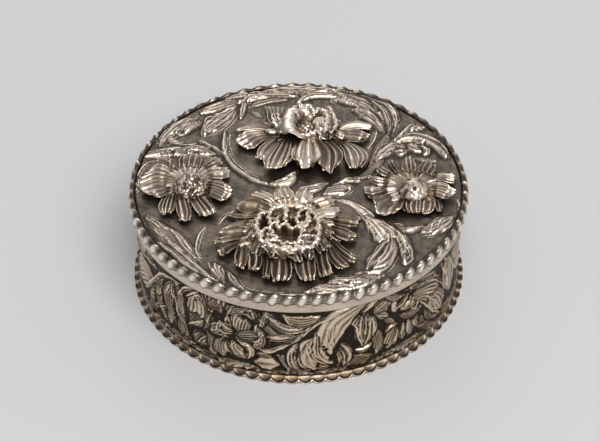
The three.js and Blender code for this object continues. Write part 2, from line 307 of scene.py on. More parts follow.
def silverFinish(name, tarnish=1.0, polish=0.24, gilt=0.0, bump=0.3, closeness=1.6,
                 silver=(0.96, 0.84, 0.7, 1), oxide=(0.085, 0.072, 0.06, 1)):
    # closeness is how far, in mm, the darkening spreads out of a corner: tarnish and painted shade from
    # ambient occlusion together
    material = bpy.data.materials.new(name)
    material.use_nodes = True
    n, link = material.node_tree.nodes, material.node_tree.links
    shader = n["Principled BSDF"]
    shader.inputs["Metallic"].default_value = 1.0
    tarnishShadeNode = n.new("ShaderNodeGroup")
    tarnishShadeNode.node_tree = tarnishShadeGroup
    tarnishShadeNode.inputs["Tarnish"].default_value = tarnish
    tarnishShadeNode.inputs["Polish"].default_value = polish
    tarnishShadeNode.inputs["Gilt"].default_value = gilt
    tarnishShadeNode.inputs["Silver"].default_value = silver
    tarnishShadeNode.inputs["Oxide"].default_value = oxide
    hollow = n.new("ShaderNodeAttribute")
    hollow.attribute_name = "hollow"
    link.new(hollow.outputs["Fac"], tarnishShadeNode.inputs["Hollow"])
    # painted shade: ambient occlusion darkens the colour in corners and under overhangs
    near = n.new("ShaderNodeAmbientOcclusion")
    near.samples = 8
    near.inputs["Distance"].default_value = closeness * mm
    link.new(near.outputs["AO"], tarnishShadeNode.inputs["Shade"])
    link.new(tarnishShadeNode.outputs["Colour"], shader.inputs["Base Color"])
    link.new(tarnishShadeNode.outputs["Roughness"], shader.inputs["Roughness"])
    dents = n.new("ShaderNodeBump")
    dents.inputs["Strength"].default_value = bump
    dents.inputs["Distance"].default_value = 0.06 * mm
    link.new(tarnishShadeNode.outputs["Height"], dents.inputs["Height"])
    link.new(dents.outputs["Normal"], shader.inputs["Normal"])
    return material


reliefSilver = silverFinish("reliefSilver")
wallSilver = silverFinish("wallSilver", polish=0.3, gilt=0.4, silver=(0.86, 0.72, 0.555, 1),
                          oxide=(0.032, 0.025, 0.018, 1))
petalSilver = silverFinish("petalSilver", tarnish=0.62, polish=0.24, silver=(1.0, 0.88, 0.745, 1))
giltPetalSilver = silverFinish("giltPetalSilver", tarnish=0.75, polish=0.28, gilt=0.45,
                               silver=(1.0, 0.88, 0.73, 1))
bossSilver = silverFinish("bossSilver", polish=0.3, bump=0.6, closeness=1.0)
borderSilver = silverFinish("borderSilver", polish=0.13, silver=(1.0, 0.9, 0.77, 1))
footSilver = silverFinish("footSilver", polish=0.22, gilt=0.45)
plainSilver = silverFinish("plainSilver", tarnish=0.8, polish=0.3, silver=(0.86, 0.75, 0.62, 1))
print("materials ready")


# Lid face. A pad is (shade, strokes, heights, half-widths, points along its middle) and a ridge is
# (half-width, height, points), with x and y in mm from the lid's centre, as a viewer of the photo reads
# them on the lid's plane.

lidFace = {"radius": 43.0, "half": 43.8, "cells": 324, "underside": 28.15, "rim": 0.05, "groundTone": 0.8,
           "highest": 3.0, "beads": 0.4}
companionGap = 0.8  # between a raised line and the thinner one beside it

lidPads = [
    # the long arch at the back
    (0.45, 9, [0.8, 1.0, 1.1, 1.1, 1.0], [0.8, 2.4, 3.3, 3.4, 3.0, 2.5, 2.0, 1.0],
     [(25.8, 22), (26.4, 27), (25.6, 31), (22.6, 35.4), (17, 38.6), (9, 40.4), (0, 40.8), (-8, 40.0),
      (-15, 37.6)]),
    (0.45, 4, [0.9, 1.1, 1.0, 0.8], [0.67, 1.68, 1.46, 0.56],
     [(22.4, 32.6), (17, 36.6), (10.6, 38.8), (4, 39.0)]),
    (0.4, 3, [1.0, 1.2, 1.3, 1.2], [0.56, 1.12, 1.23, 1.01],
     [(0, 38.4), (-5, 38.6), (-10.5, 38), (-15.4, 36)]),
    (0.45, 3, [0.7, 1.0, 1.0, 0.6], [0.45, 1.01, 1.23, 0.56],
     [(-2.4, 36.8), (-7, 36.6), (-11, 35.2), (-14, 32.8)]),
    (0.2, 3, [1.0, 1.5, 1.5, 1.0], [0.56, 1.12, 1.23, 1.01, 0.45],
     [(-0.6, 35.0), (1.2, 37.0), (4.3, 38.7), (8.6, 38.6), (12.1, 37.6)]),
    # back left: leaves that hang from the knot
    (0.42, 5, [1.1, 1.4, 1.4, 1.0], [0.9, 1.57, 1.79, 1.12],
     [(-15.8, 36), (-20, 34.6), (-24, 32.4), (-27, 30.6)]),
    (0.42, 5, [1.0, 1.4, 1.4, 1.2, 0.9], [0.67, 1.57, 1.9, 1.68, 0.78],
     [(-27.6, 28.2), (-31.4, 26.2), (-34.2, 23), (-36.4, 19), (-37.5, 16)]),
    (0.38, 0, [1.2, 1.6, 1.7, 1.5], [0.56, 1.34, 1.68, 1.12],
     [(-26.6, 25.8), (-29, 24.6), (-31, 23), (-32.2, 21.4)]),
    (0.4, 0, [1.1, 1.6, 1.8, 1.7], [0.78, 2.02, 2.8, 2.69, 1.12],
     [(-17, 33.6), (-19.2, 30.4), (-21.8, 27), (-24, 24), (-25.6, 20.6)]),
    (0.22, 0, [0.7, 0.9, 0.8], [0.78, 1.23, 0.9], [(-34.6, 20.4), (-34.4, 18.4), (-32.4, 17.4)]),
    (0.4, 3, [0.8, 1.2, 0.9], [0.45, 1.12, 0.67], [(-12, 39.4), (-16.6, 38.9), (-20.2, 37.2)]),
    (0.35, 0, [1.5, 1.2, 1.0], [0.9, 1.01, 0.67], [(-15, 35.4), (-15.4, 31.8), (-16, 28.2)]),
    (0.3, 3, [0.6, 0.9, 0.6], [0.45, 1.01, 0.34], [(-13.4, 31.6), (-11.6, 30.2), (-9.6, 28.8)]),
    (0.4, 5, [1.0, 1.4, 1.4, 1.2, 0.9], [0.67, 1.79, 1.9, 1.68, 1.34, 0.56],
     [(-20.2, 12.4), (-24, 13.4), (-29, 13.7), (-34, 13.2), (-39, 12.2), (-43, 11)]),
    (0.42, 3, [0.9, 1.0, 1.0, 0.9], [0.78, 1.01, 1.01, 0.78, 0.45],
     [(-20.2, 22.4), (-20.1, 16), (-18.8, 10), (-15, 4.4), (-8, -0.4)]),
    (0.35, 2, [1.0, 1.3, 1.3], [0.45, 0.9, 0.67], [(-19.4, 10.6), (-22.8, 14.8), (-27, 18)]),
    # back right: fingers that sweep up and left from the node
    (0.4, 5, [1.0, 1.5, 1.6, 1.1], [0.67, 1.79, 2.02, 0.78],
     [(24.6, 21), (24.4, 26.4), (23, 31.2), (20.4, 35.8)]),
    (0.35, 0, [1.0, 1.4, 1.5, 1.4], [0.67, 1.79, 2.13, 1.01],
     [(23.6, 21), (21.4, 25.8), (18.4, 29.8), (15, 31.8)]),
    (0.35, 4, [0.9, 1.4, 1.5, 1.4], [0.45, 1.12, 1.34, 0.78], [(22, 31), (18, 34), (14, 35.8), (9.4, 36.6)]),
    (0.48, 6, [0.9, 1.1, 1.2, 1.3], [0.67, 1.34, 2.02, 2.24, 1.57],
     [(13, 1.6), (17.6, 3.6), (20.6, 8.6), (22.4, 14.4), (24.2, 20.4)]),
    (0.36, 0, [1.0, 1.5, 1.6, 1.2], [0.56, 1.12, 1.46, 0.78],
     [(26, 18.4), (28.8, 21), (31, 23.4), (34.4, 24)]),
    (0.5, 5, [1.0, 1.3, 1.4, 1.2], [0.56, 1.34, 1.79, 1.68, 1.01],
     [(27, 19.4), (32, 20.4), (36, 18), (38.6, 14.6), (40.2, 11)]),
    (0.2, 0, [1.0, 1.5, 1.7, 1.8], [0.56, 1.01, 1.01, 1.01, 1.34],
     [(26.4, 17.4), (30, 18.6), (34.4, 17.2), (37.4, 14.4), (39.4, 10.8)]),
    (0.15, 0, [1.0, 1.5, 1.8, 1.5], [0.56, 1.34, 2.02, 1.57],
     [(20.4, 9.2), (22.8, 12.2), (25.4, 14.6), (28.2, 14.8)]),
    (0.25, 0, [1.2, 1.6, 1.4], [0.9, 1.46, 1.01], [(25.6, 12.8), (27.4, 12.8), (29.2, 13.6)]),
    (0.3, 0, [1.3, 1.7, 1.4], [0.9, 1.57, 1.12], [(29.6, 16.2), (31, 14.8), (33, 13.6)]),
    (0.35, 0, [1.2, 1.6, 1.2], [0.78, 1.23, 0.9], [(33.4, 15.8), (34.6, 13.6), (33.8, 11.8)]),
    (0.38, 2, [0.8, 1.1, 0.9], [0.45, 0.9, 0.56], [(30.8, 10.6), (34, 9.6), (37, 9.4)]),
    # front left leaf in long strands
    (0.48, 10, [0.8, 1.1, 1.2, 1.1], [0.78, 2.46, 3.58, 3.36, 1.57],
     [(-39.6, -13.2), (-36, -17.4), (-32.4, -22), (-29, -27), (-25.6, -31.6)]),
    (0.45, 5, [0.8, 1.1, 1.2, 1.0], [0.56, 1.79, 2.02, 1.34],
     [(-35.8, -23), (-31.6, -27.6), (-26.4, -33), (-20.4, -38)]),
    (0.48, 0, [0.9, 1.2, 0.9], [0.9, 2.46, 1.12], [(-21, -31), (-19.8, -34.6), (-18.4, -38)]),
    (0.5, 0, [0.8, 1.0, 0.8], [0.67, 1.12, 0.45], [(-17.4, -34), (-16.4, -37), (-14.6, -40)]),
    # middle leaves
    (0.3, 4, [0.9, 1.4, 1.4, 1.0], [0.56, 1.57, 1.46, 0.56],
     [(-1.6, -4), (1.4, -3), (4.6, -1.8), (7.8, 0.2)]),
    (0.3, 0, [1.1, 1.6, 1.8, 1.7], [0.67, 1.79, 2.24, 1.34],
     [(6.4, -4.4), (8.8, -3.2), (11.2, -2.4), (13.2, -2.2)]),
    (0.45, 2, [0.9, 1.1, 1.1], [0.45, 0.9, 0.56], [(10.4, 0.2), (13, 1.4), (16.4, 0.8)]),
    (0.25, 3, [0.8, 1.1, 1.2, 1.2], [0.78, 1.68, 2.02, 2.46],
     [(9.2, -6.6), (12.8, -8.4), (16.2, -11.4), (19.2, -15)]),
    (0.05, 2, [1.3, 1.9, 1.6], [1.2, 2.2, 0.9], [(-7.2, -0.6), (-2.9, 1.0), (-0.2, 5)]),
    # front right acanthus
    (0.15, 5, [1.0, 1.3, 1.5, 1.4], [1.34, 2.91, 3.81, 3.36],
     [(17.4, -13.6), (19.8, -16.8), (22.2, -20.6), (22.8, -24.8)]),
    (0.25, 0, [1.4, 1.6, 1.4, 1.0], [1.01, 1.46, 1.46, 0.78],
     [(21.8, -23.4), (20.2, -27.2), (18, -30.8), (17, -33.4)]),
    (0.35, 3, [1.4, 1.6, 1.4, 1.0], [1.21, 1.98, 1.98, 0.78],
     [(24, -22.6), (23.2, -27), (21, -31), (18.6, -33.2)]),
    (0.45, 0, [1.4, 1.6, 1.7, 1.5], [1.01, 1.9, 1.9, 1.12],
     [(25.2, -19.4), (26.8, -24), (27.2, -28), (26.6, -31)]),
    (0.3, 0, [1.0, 1.3, 1.1], [0.56, 1.01, 0.45], [(22.6, -32.8), (19, -34.8), (13.6, -35.4)]),
    (0.4, 3, [1.0, 1.4, 1.0], [0.56, 1.12, 0.56], [(24.8, -16.6), (27.6, -18.8), (32.4, -17.4)]),
    (0.25, 5, [1.0, 1.4, 1.4, 1.0], [0.98, 2.43, 2.89, 1.54],
     [(31.6, -19.4), (34.4, -18), (37, -16), (39.4, -13.8)]),
    # front rim leaf
    (0.3, 7, [0.9, 1.3, 1.4, 1.2, 0.9], [0.5, 2.0, 2.9, 2.2, 0.6],
     [(0.6, -42), (6, -40.4), (11.4, -38.8), (16.4, -37.4), (21.4, -35.6)]),
    (0.1, 3, [1.2, 1.6, 1.6, 1.1], [0.5, 1.3, 1.3, 0.5],
     [(6.6, -39), (9.6, -38), (13, -37.9), (17.6, -37.6)]),
]

lidRidges = [
    # strands along the back rim
    (0.3, 0.35, [(-13, 41), (-8, 42), (-2, 42.5), (4, 42.3), (10, 41.2), (15, 39.6)]),
    (0.3, 0.35, [(-20, 37), (-18, 38.6), (-15, 39.8), (-10, 40.9), (-4, 41.4), (2, 41.3), (8, 40.8),
                 (13, 39)]),
    (0.32, 0.4, [(-15.4, 36.8), (-13, 38.5), (-8, 39.7), (-3, 39.9), (0, 39.4)]),
    (0.3, 0.35, [(-14.2, 36), (-12, 37.7), (-8, 38.7), (-4, 38.9), (-1, 38), (0.6, 36)]),
    (0.35, 0.4, [(-0.4, 36), (2, 39), (5, 40.3), (9, 40.2), (13, 38.8), (17, 36.8), (20, 34.6)]),
    (0.32, 0.4, [(9, 39.4), (13, 38), (17, 35.6), (20, 32.6), (22.2, 29), (23.8, 25)]),
    (0.35, 0.45, [(20.4, 35.8), (22.4, 32.6), (23.8, 29), (24.6, 25), (24.8, 22)]),
    (0.3, 0.35, [(10.4, 36.8), (14, 35.2), (17, 33), (19.6, 30), (21.6, 26.6), (23.2, 23)]),
    (0.3, 0.35, [(15.4, 33), (18, 31.2), (20, 28.4), (22, 25.2), (23.6, 21.6)]),
    (0.3, 0.35, [(21.4, 36.4), (24, 34.4), (26, 31), (27, 28), (26.6, 24), (25.6, 21)]),
    (0.28, 0.3, [(23.4, 35.6), (25.2, 32), (26.2, 28), (25.9, 24.4)]),
    (0.28, 0.3, [(16.6, 30), (19, 27.8), (21, 25), (22.6, 22)]),
    (0.35, 0.4, [(25, 17.4), (28, 20), (31, 20.8), (34, 20), (37, 17.8), (39.4, 15)]),
    (0.35, 0.4, [(24.6, 16), (27, 18), (30, 19), (33, 18.6), (36, 16.8), (38.6, 14), (39.6, 11)]),
    (0.3, 0.35, [(29.4, 15.6), (31, 16.7), (33.6, 16.9), (36, 15.2), (38, 12.6), (39, 10.4)]),
    (0.28, 0.3, [(-27.4, 31.4), (-24, 33.2), (-20, 35.2), (-16.5, 36.8)]),
    (0.28, 0.3, [(-38.2, 17), (-37.4, 20), (-35, 24), (-32, 27), (-29, 29.4)]),
    (0.28, 0.3, [(-36.4, 17.6), (-34.4, 21.2), (-31.6, 24.2), (-29, 26.6), (-26.8, 27.8)]),
    (0.28, 0.3, [(-35.2, 16), (-34.2, 18.6), (-32.8, 20.4), (-31, 21.6)]),
    (0.28, 0.3, [(-34.8, 17.2), (-31, 16.8), (-27.4, 16.4), (-24, 15.2), (-21.4, 13.4)]),
    (0.4, 0.5, [(-19, 35.8), (-22, 34.3), (-25, 32.8), (-26.8, 31.8), (-27.3, 30.9)]),
    (0.4, 0.4, [(-20, 33.8), (-22.5, 32.6), (-24, 32), (-26.6, 30.6)]),
    (0.35, 0.4, [(-16.9, 34.6), (-19, 32.4), (-21, 31), (-22.8, 30.4)]),
    (0.45, 0.5, [(-27.6, 29.2), (-31.3, 26.9), (-34, 23.9), (-36.4, 20), (-37.8, 15.8)]),
    (0.35, 0.4, [(-26.4, 27), (-30, 25.8), (-33.2, 23.2), (-36, 19), (-37, 15.5)]),
    (0.25, 0.3, [(-28.5, 28.8), (-33, 26.4), (-36.8, 21.5), (-38.4, 16)]),
    (0.45, 0.6, [(-26.7, 26.2), (-30.2, 25.1), (-32.8, 22.6), (-32.9, 21.4), (-32, 20.7), (-30.8, 21.4),
                 (-28, 24.2), (-26.3, 25.4)]),
    (0.4, 0.6, [(-17.2, 34), (-20.5, 30.8), (-22.8, 29.4), (-24.8, 28.9), (-25.6, 27.6), (-25.7, 26),
                (-25, 25)]),
    (0.4, 0.5, [(-26, 24.5), (-26.4, 22.5), (-26.2, 20.4), (-25.8, 19.9)]),
    (0.4, 0.5, [(-16.8, 33), (-17.4, 30), (-18.4, 27.4), (-20, 24.6), (-22, 22.2), (-25.4, 20)]),
    (0.4, 0.5, [(-17.4, 33.5), (-19.5, 31), (-22, 28.8), (-24.2, 26.6), (-25.3, 25.3)]),
    (0.4, 0.5, [(-18, 32), (-20.3, 28.5), (-22.8, 25.6), (-25, 22.8), (-26, 20.6)]),
    (0.35, 0.5, [(-17.8, 30.6), (-19.6, 27.2), (-22, 24.2), (-24.6, 21.2)]),
    (0.8, 0.6, [(-14.8, 37), (-16.6, 35.2)]),
    (0.4, 0.5, [(-8, 39.6), (-12.5, 39), (-14.5, 38), (-15.5, 37)]),
    (0.4, 0.5, [(-8, 37.8), (-12.5, 37.4), (-13.8, 36.6), (-14.2, 35.2), (-14.3, 33.6)]),
    (0.4, 0.5, [(-15.3, 33.5), (-15.9, 32), (-15.9, 30.3), (-16.1, 27.9)]),
    (0.4, 0.4, [(-14, 39.4), (-17, 39.3), (-19.4, 38.5), (-20.5, 37.3), (-20, 36.6)]),
    (0.45, 0.5, [(-20.3, 13.6), (-23, 14.8), (-30, 15.4), (-34, 15.2), (-38, 14.2), (-41, 13.2)]),
    (0.4, 0.6, [(-24, 12.2), (-26, 13.2), (-28, 13.8), (-29.4, 13.3), (-29.5, 12.2), (-28.5, 11.5),
                (-23.5, 11.4)]),
    (0.4, 0.6, [(-30.2, 13.5), (-32, 14.2), (-34, 14.1), (-35.2, 13.2), (-34.6, 11.4)]),
    (0.35, 0.4, [(-32.2, 12.9), (-33, 12.2), (-33.2, 11.5)]),
    (0.45, 0.5, [(-35.5, 12.6), (-38.5, 11.8), (-41.5, 11), (-43, 10.6)]),
    (0.45, 0.6, [(-27, 18.1), (-25.5, 17), (-22, 14), (-20.3, 12.6), (-19.5, 11), (-18.3, 8.5)]),
    (0.7, 0.8, [(-20, 22.5), (-20.3, 17.5), (-19.9, 13), (-18, 8), (-14.4, 3.6), (-11, 0.8), (-6.4, -0.8)]),
    (0.3, 0.4, [(-19, 21.6), (-19.2, 16), (-17.6, 10.4), (-14.6, 6), (-12, 3), (-9.4, 1)]),
    (0.3, 0.3, [(-37.6, 10.6), (-40.6, 8.6), (-42.4, 4.6), (-42.9, 0.6), (-42.2, -3.6)]),
    (0.25, 0.3, [(25.5, 30.8), (26.5, 27.6), (26.6, 25.8), (26.4, 23.5), (26, 21.5)]),
    (0.5, 0.6, [(20.4, 35.8), (22.5, 32.6), (23.5, 30.4), (24.3, 26), (24.8, 22.9)]),
    (0.35, 0.4, [(21.6, 31.3), (22.5, 29.2), (23.1, 27.2), (23.7, 24.7)]),
    (0.4, 0.5, [(15, 32.4), (16.4, 32), (17.5, 30.6), (20.3, 27.6), (21.4, 26)]),
    (0.4, 0.5, [(16, 32.9), (17.3, 32.9), (19.8, 30.4), (21, 28.5), (22.1, 25.8)]),
    (0.35, 0.5, [(16.2, 29), (18.5, 27.6), (19.8, 26.3), (21, 24.7)]),
    (0.4, 0.5, [(10.5, 36.7), (11.9, 35.8), (14.8, 34.2)]),
    (0.4, 0.5, [(11, 37.9), (12.5, 37), (14.6, 35.6), (16, 34.5)]),
    (0.35, 0.5, [(8.8, 37.6), (9.2, 35.8), (10.6, 35.2)]),
    (0.35, 0.4, [(19.5, 38.2), (22.5, 36.4), (24.8, 34.6), (26.5, 31.5), (27.1, 28.5), (26.9, 25.5)]),
    (0.25, 0.3, [(8, 41.7), (12.5, 41), (16, 39.2)]),
    (0.45, 0.5, [(0.2, 34.6), (0.9, 36.6), (2.6, 38)]),
    (0.45, 0.6, [(26.4, 18.8), (28.5, 21.3), (29.8, 23.1), (31, 24.5), (32.1, 24.9), (34.4, 24)]),
    (0.3, 0.4, [(34.1, 23.3), (32.5, 23.5), (31.6, 23.8)]),
    (0.6, 0.4, [(31, 21.8), (31.2, 23.4)]),
    (0.35, 0.4, [(31.6, 21.7), (35.3, 19.9), (37.8, 17.4), (39.6, 14.2), (40.7, 11)]),
    (0.7, 0.6, [(26.4, 17.2), (29.4, 18.8), (33.5, 17.9), (36.4, 15.4), (38.5, 12.9), (39.1, 11.3)]),
    (1.0, 0.4, [(38.8, 12.6), (39.6, 10.8)]),
    (0.6, 0.5, [(29.8, 16.8), (31, 15.6)]),
    (0.5, 0.5, [(29.2, 14.6), (30.4, 13.6)]),
    (0.5, 0.5, [(32.6, 16), (34.4, 13.6), (34.2, 12)]),
    (0.5, 0.6, [(20.3, 9.9), (22.5, 13.3), (25.5, 16), (27.1, 16.5), (28.2, 16.3), (28.7, 15.4)]),
    (0.45, 0.5, [(20.7, 9), (22.1, 10.4), (24.6, 12.2)]),
    (0.5, 0.5, [(25.2, 13.2), (27, 12.8), (28.4, 13)]),
    (0.3, 0.3, [(18.7, 14.5), (20.7, 19), (21.6, 23.5)]),
    (0.3, 0.3, [(20.7, 12.2), (23, 14.9), (25.3, 17.2)]),
    (0.4, 0.5, [(10.4, 0.2), (13, 1.6), (15, 1.6), (16.8, 0.8)]),
    (0.35, 0.5, [(-39.5, -12.6), (-37, -14.7), (-34.8, -17.4), (-33.4, -18.8)]),
    (0.3, 0.4, [(-39.5, -14.2), (-37, -16), (-35.2, -18.5)]),
    (0.25, 0.3, [(-37, -18.5), (-35.9, -19.9), (-34.5, -21.5)]),
    (0.5, 0.6, [(-32.5, -18.8), (-30.7, -21.7), (-28.9, -25.4), (-26.6, -28.5), (-23.9, -30.8)]),
    (0.25, 0.3, [(-29.8, -20.1), (-28.9, -22.6), (-26.8, -27), (-25.7, -28.3)]),
    (0.4, 0.5, [(-23.6, -17.4), (-24.8, -19.2), (-25.5, -21.5), (-25.8, -26), (-24.5, -29.7)]),
    (0.65, 0.7, [(-33.9, -22), (-31.4, -25.4), (-28.6, -28.5), (-25.7, -32.2), (-22.7, -35.6),
                 (-19.8, -37.9)]),
    (0.4, 0.5, [(-35.7, -23.1), (-33.6, -25.8), (-30.9, -28.5), (-28.6, -31.5), (-25.5, -34.2),
                (-20.9, -37.6)]),
    (0.25, 0.3, [(-27.3, -33.8), (-23.2, -37.2), (-20.5, -38.5)]),
    (0.45, 0.5, [(-22.5, -31), (-21.8, -33.1), (-20.7, -35.4), (-19.5, -37.2)]),
    (0.3, 0.4, [(-20.9, -31.3), (-20.7, -33.1), (-19.3, -37)]),
    (0.3, 0.4, [(-19.3, -32.2), (-19.8, -33.5), (-19.3, -35.4), (-18.4, -37.2)]),
    (0.25, 0.3, [(-17.5, -35.1), (-17, -36.7), (-16.4, -37.9)]),
    (0.4, 0.5, [(-15.7, -35.8), (-15.2, -37.4), (-13.6, -40.4), (-10, -41.9), (-4.4, -42.6), (1.6, -42.4)]),
    (0.3, 0.4, [(9.7, -7.8), (12.8, -8.8), (15.4, -11.4), (18.3, -14.5), (21.1, -16.9)]),
    (0.35, 0.4, [(15.9, -13), (17.1, -15), (17.6, -17.3), (17.8, -19.5)]),
    (0.35, 0.5, [(20, -20.2), (19.2, -20.4), (19.2, -21.6), (19.1, -23)]),
    (0.35, 0.5, [(21.1, -21.6), (22.8, -20.7), (22.8, -22.6), (22.3, -24)]),
    (0.45, 0.5, [(21.1, -16.9), (24, -20.2), (25.4, -24.2), (25.5, -26.1)]),
    (0.35, 0.4, [(23.8, -17.8), (26.1, -21.6), (27.2, -26.4), (27, -27.8)]),
    (0.55, 0.6, [(22.3, -23), (20.7, -26.4), (18.5, -29.7), (16.9, -33.3)]),
    (0.35, 0.4, [(21.4, -26.6), (19.2, -31.1), (18.3, -32.6)]),
    (0.25, 0.3, [(24.5, -21.9), (24, -26.1), (23, -28.3)]),
    (0.4, 0.6, [(25.5, -26.1), (24.2, -29), (22.6, -32.3), (21.1, -34), (17.8, -35), (14.2, -34.7)]),
    (0.4, 0.6, [(25.7, -26.9), (26, -30.4), (26.6, -31.6), (28.3, -30), (28.6, -28.5), (28, -25.4),
                (27.3, -23.5)]),
    (0.45, 0.5, [(24.5, -16.1), (25.9, -16.1), (26.9, -17.3)]),
    (0.45, 0.5, [(26.1, -19), (27.1, -19.5), (29, -18.8), (32.3, -17.1)]),
    (0.45, 0.6, [(39.7, -13.3), (38.5, -16.4), (35.7, -19.2), (33.3, -20.7), (31.6, -20.4)]),
    (0.35, 0.4, [(37.1, -14.5), (36.1, -16.4), (35.4, -18.5)]),
    (0.35, 0.4, [(35, -15.2), (34.2, -17.3), (33.5, -19.5)]),
    (0.35, 0.4, [(32.6, -17.3), (30.9, -20.2)]),
    (0.3, 0.4, [(8.3, -36.4), (12.1, -36.6), (16.4, -37.6)]),
    (0.3, 0.4, [(1.6, -42), (6, -41.2), (10.6, -41), (15, -40), (19, -37.6)]),
    (0.25, 0.35, [(4, -41), (8.6, -40.2), (13.6, -39.8), (17.6, -38.2)]),
    (0.45, 0.6, [(7.3, -38.5), (8.8, -38.3), (10, -39), (13, -39.7), (13.8, -39.2), (13.5, -38.3),
                 (12.6, -38.3)]),
    (0.35, 0.4, [(6.4, -39.7), (8, -40.2)]),
    (0.35, 0.4, [(15, -38.5), (16.9, -38.3)]),
    (0.4, 0.6, [(6.8, -3.6), (9.5, -1.2), (12, -0.6), (13.7, -2.2), (12, -4.3), (8, -5.4)]),
    (0.45, 0.5, [(0, -2.5), (4, -1.3), (7.5, 0.2)]),
    (0.35, 0.4, [(0, -4.6), (3.4, -3.6), (6, -2.4)]),
    (0.7, 0.5, [(-4.6, 0.4), (-2, 2), (-0.8, 4.4)]),
    (0.35, 0.4, [(41.0, -6.2), (41.8, -8.4), (41.2, -11.6)]),
    (0.35, 0.4, [(-20.4, -16.6), (-18.9, -13.4), (-16.4, -10.8)]),
]

lidPits = [(-31.7, 21.9, 0.7), (-24.4, 27.8, 0.7), (-27.3, 12.7, 0.7), (-33.6, 12.9, 0.6), (15.2, 31.3, 0.5),
           (26.8, 14.6, 0.7), (32.8, 14.7, 0.5), (32.5, 12.6, 0.5), (34.1, 16.7, 0.5), (35, 14.9, 0.5),
           (25.2, -27.8, 0.5), (27.2, -28.6, 0.6), (11.9, -38.7, 0.6), (-2.4, 1.6, 0.3), (-1.2, 2.8, 0.3)]


def makeLidFace(s):
    edge = np.linspace(-s["half"], s["half"], s["cells"] + 1)
    x, y = np.meshgrid(edge, edge, indexing="ij")
    ground = s["groundTone"] + 0.07 * mottle(x, y, 7, (11, 6, 3))
    field = {"x": x, "y": y, "h": np.full_like(x, 0.12), "tone": ground}
    for pad in lidPads:
        carvePad(field, pad)
    for ridge in lidRidges:
        if len(ridge[2]) > 2:
            carveRidge(field, besideRidge(ridge, companionGap))
    for ridge in lidRidges:
        carveRidge(field, ridge, s["beads"])
    for pit in lidPits:
        carvePit(field, *pit)
    h = softened(field["h"], 0.45) + 0.05 * mottle(x, y, 4, (7, 3, 1.7))
    h = np.clip(h, 0.0, s["highest"])
    hollow = softened(field["tone"], 0.3) + 0.4 * hollowOf(h, 3.0, 0.9) + 0.4 * hollowOf(h, 1.2, 2.6)
    hollow = np.clip(hollow, 0, 1)
    bm = bmesh.new()
    bmesh.ops.create_grid(bm, x_segments=s["cells"], y_segments=s["cells"], size=s["half"])
    outside = [v for v in bm.verts if v.co.xy.length > s["radius"]]
    bmesh.ops.delete(bm, geom=outside, context="VERTS")
    step = 2 * s["half"] / s["cells"]
    layer = bm.verts.layers.float.new("hollow")
    for v in bm.verts:
        i = int(round((v.co.x + s["half"]) / step))
        j = int(round((v.co.y + s["half"]) / step))
        v.co.z = groundLevel + h[i, j]
        v[layer] = hollow[i, j]
    rim = [e for e in bm.edges if e.is_boundary]
    for v in {v for e in rim for v in e.verts}:
        v.co.xy = v.co.xy.normalized() * s["radius"]
        v.co.z = groundLevel + s["rim"]
    lower = bmesh.ops.extrude_edge_only(bm, edges=rim)["geom"]
    for v in lower:
        if isinstance(v, bmesh.types.BMVert):
            v.co.z = s["underside"]
    loop = [g for g in lower if isinstance(g, bmesh.types.BMEdge) and g.is_boundary]
    bmesh.ops.edgeloop_fill(bm, edges=loop)
    bmesh.ops.recalc_face_normals(bm, faces=bm.faces)
    return finishMesh(bm, "lid_face", "lid", ["lid_plate"], reliefSilver)


makeLidFace(lidFace)


# Wall: leaves and flowers in low relief, with points given as degrees round from the front and height

wallSkin = {"ground": 42.7, "inner": 42.02, "bottom": 1.22, "top": 23.78, "steps": 1000, "rows": 93,
            "mid": 43.0,
            "relief": 1.35, "groundTone": 0.95, "repeats": (130, 230), "widest": 50, "trench": 0.35,
            "sharp": 1.5, "beads": 0.15}
degree = wallSkin["mid"] * math.pi / 180  # arc length of one degree, mm

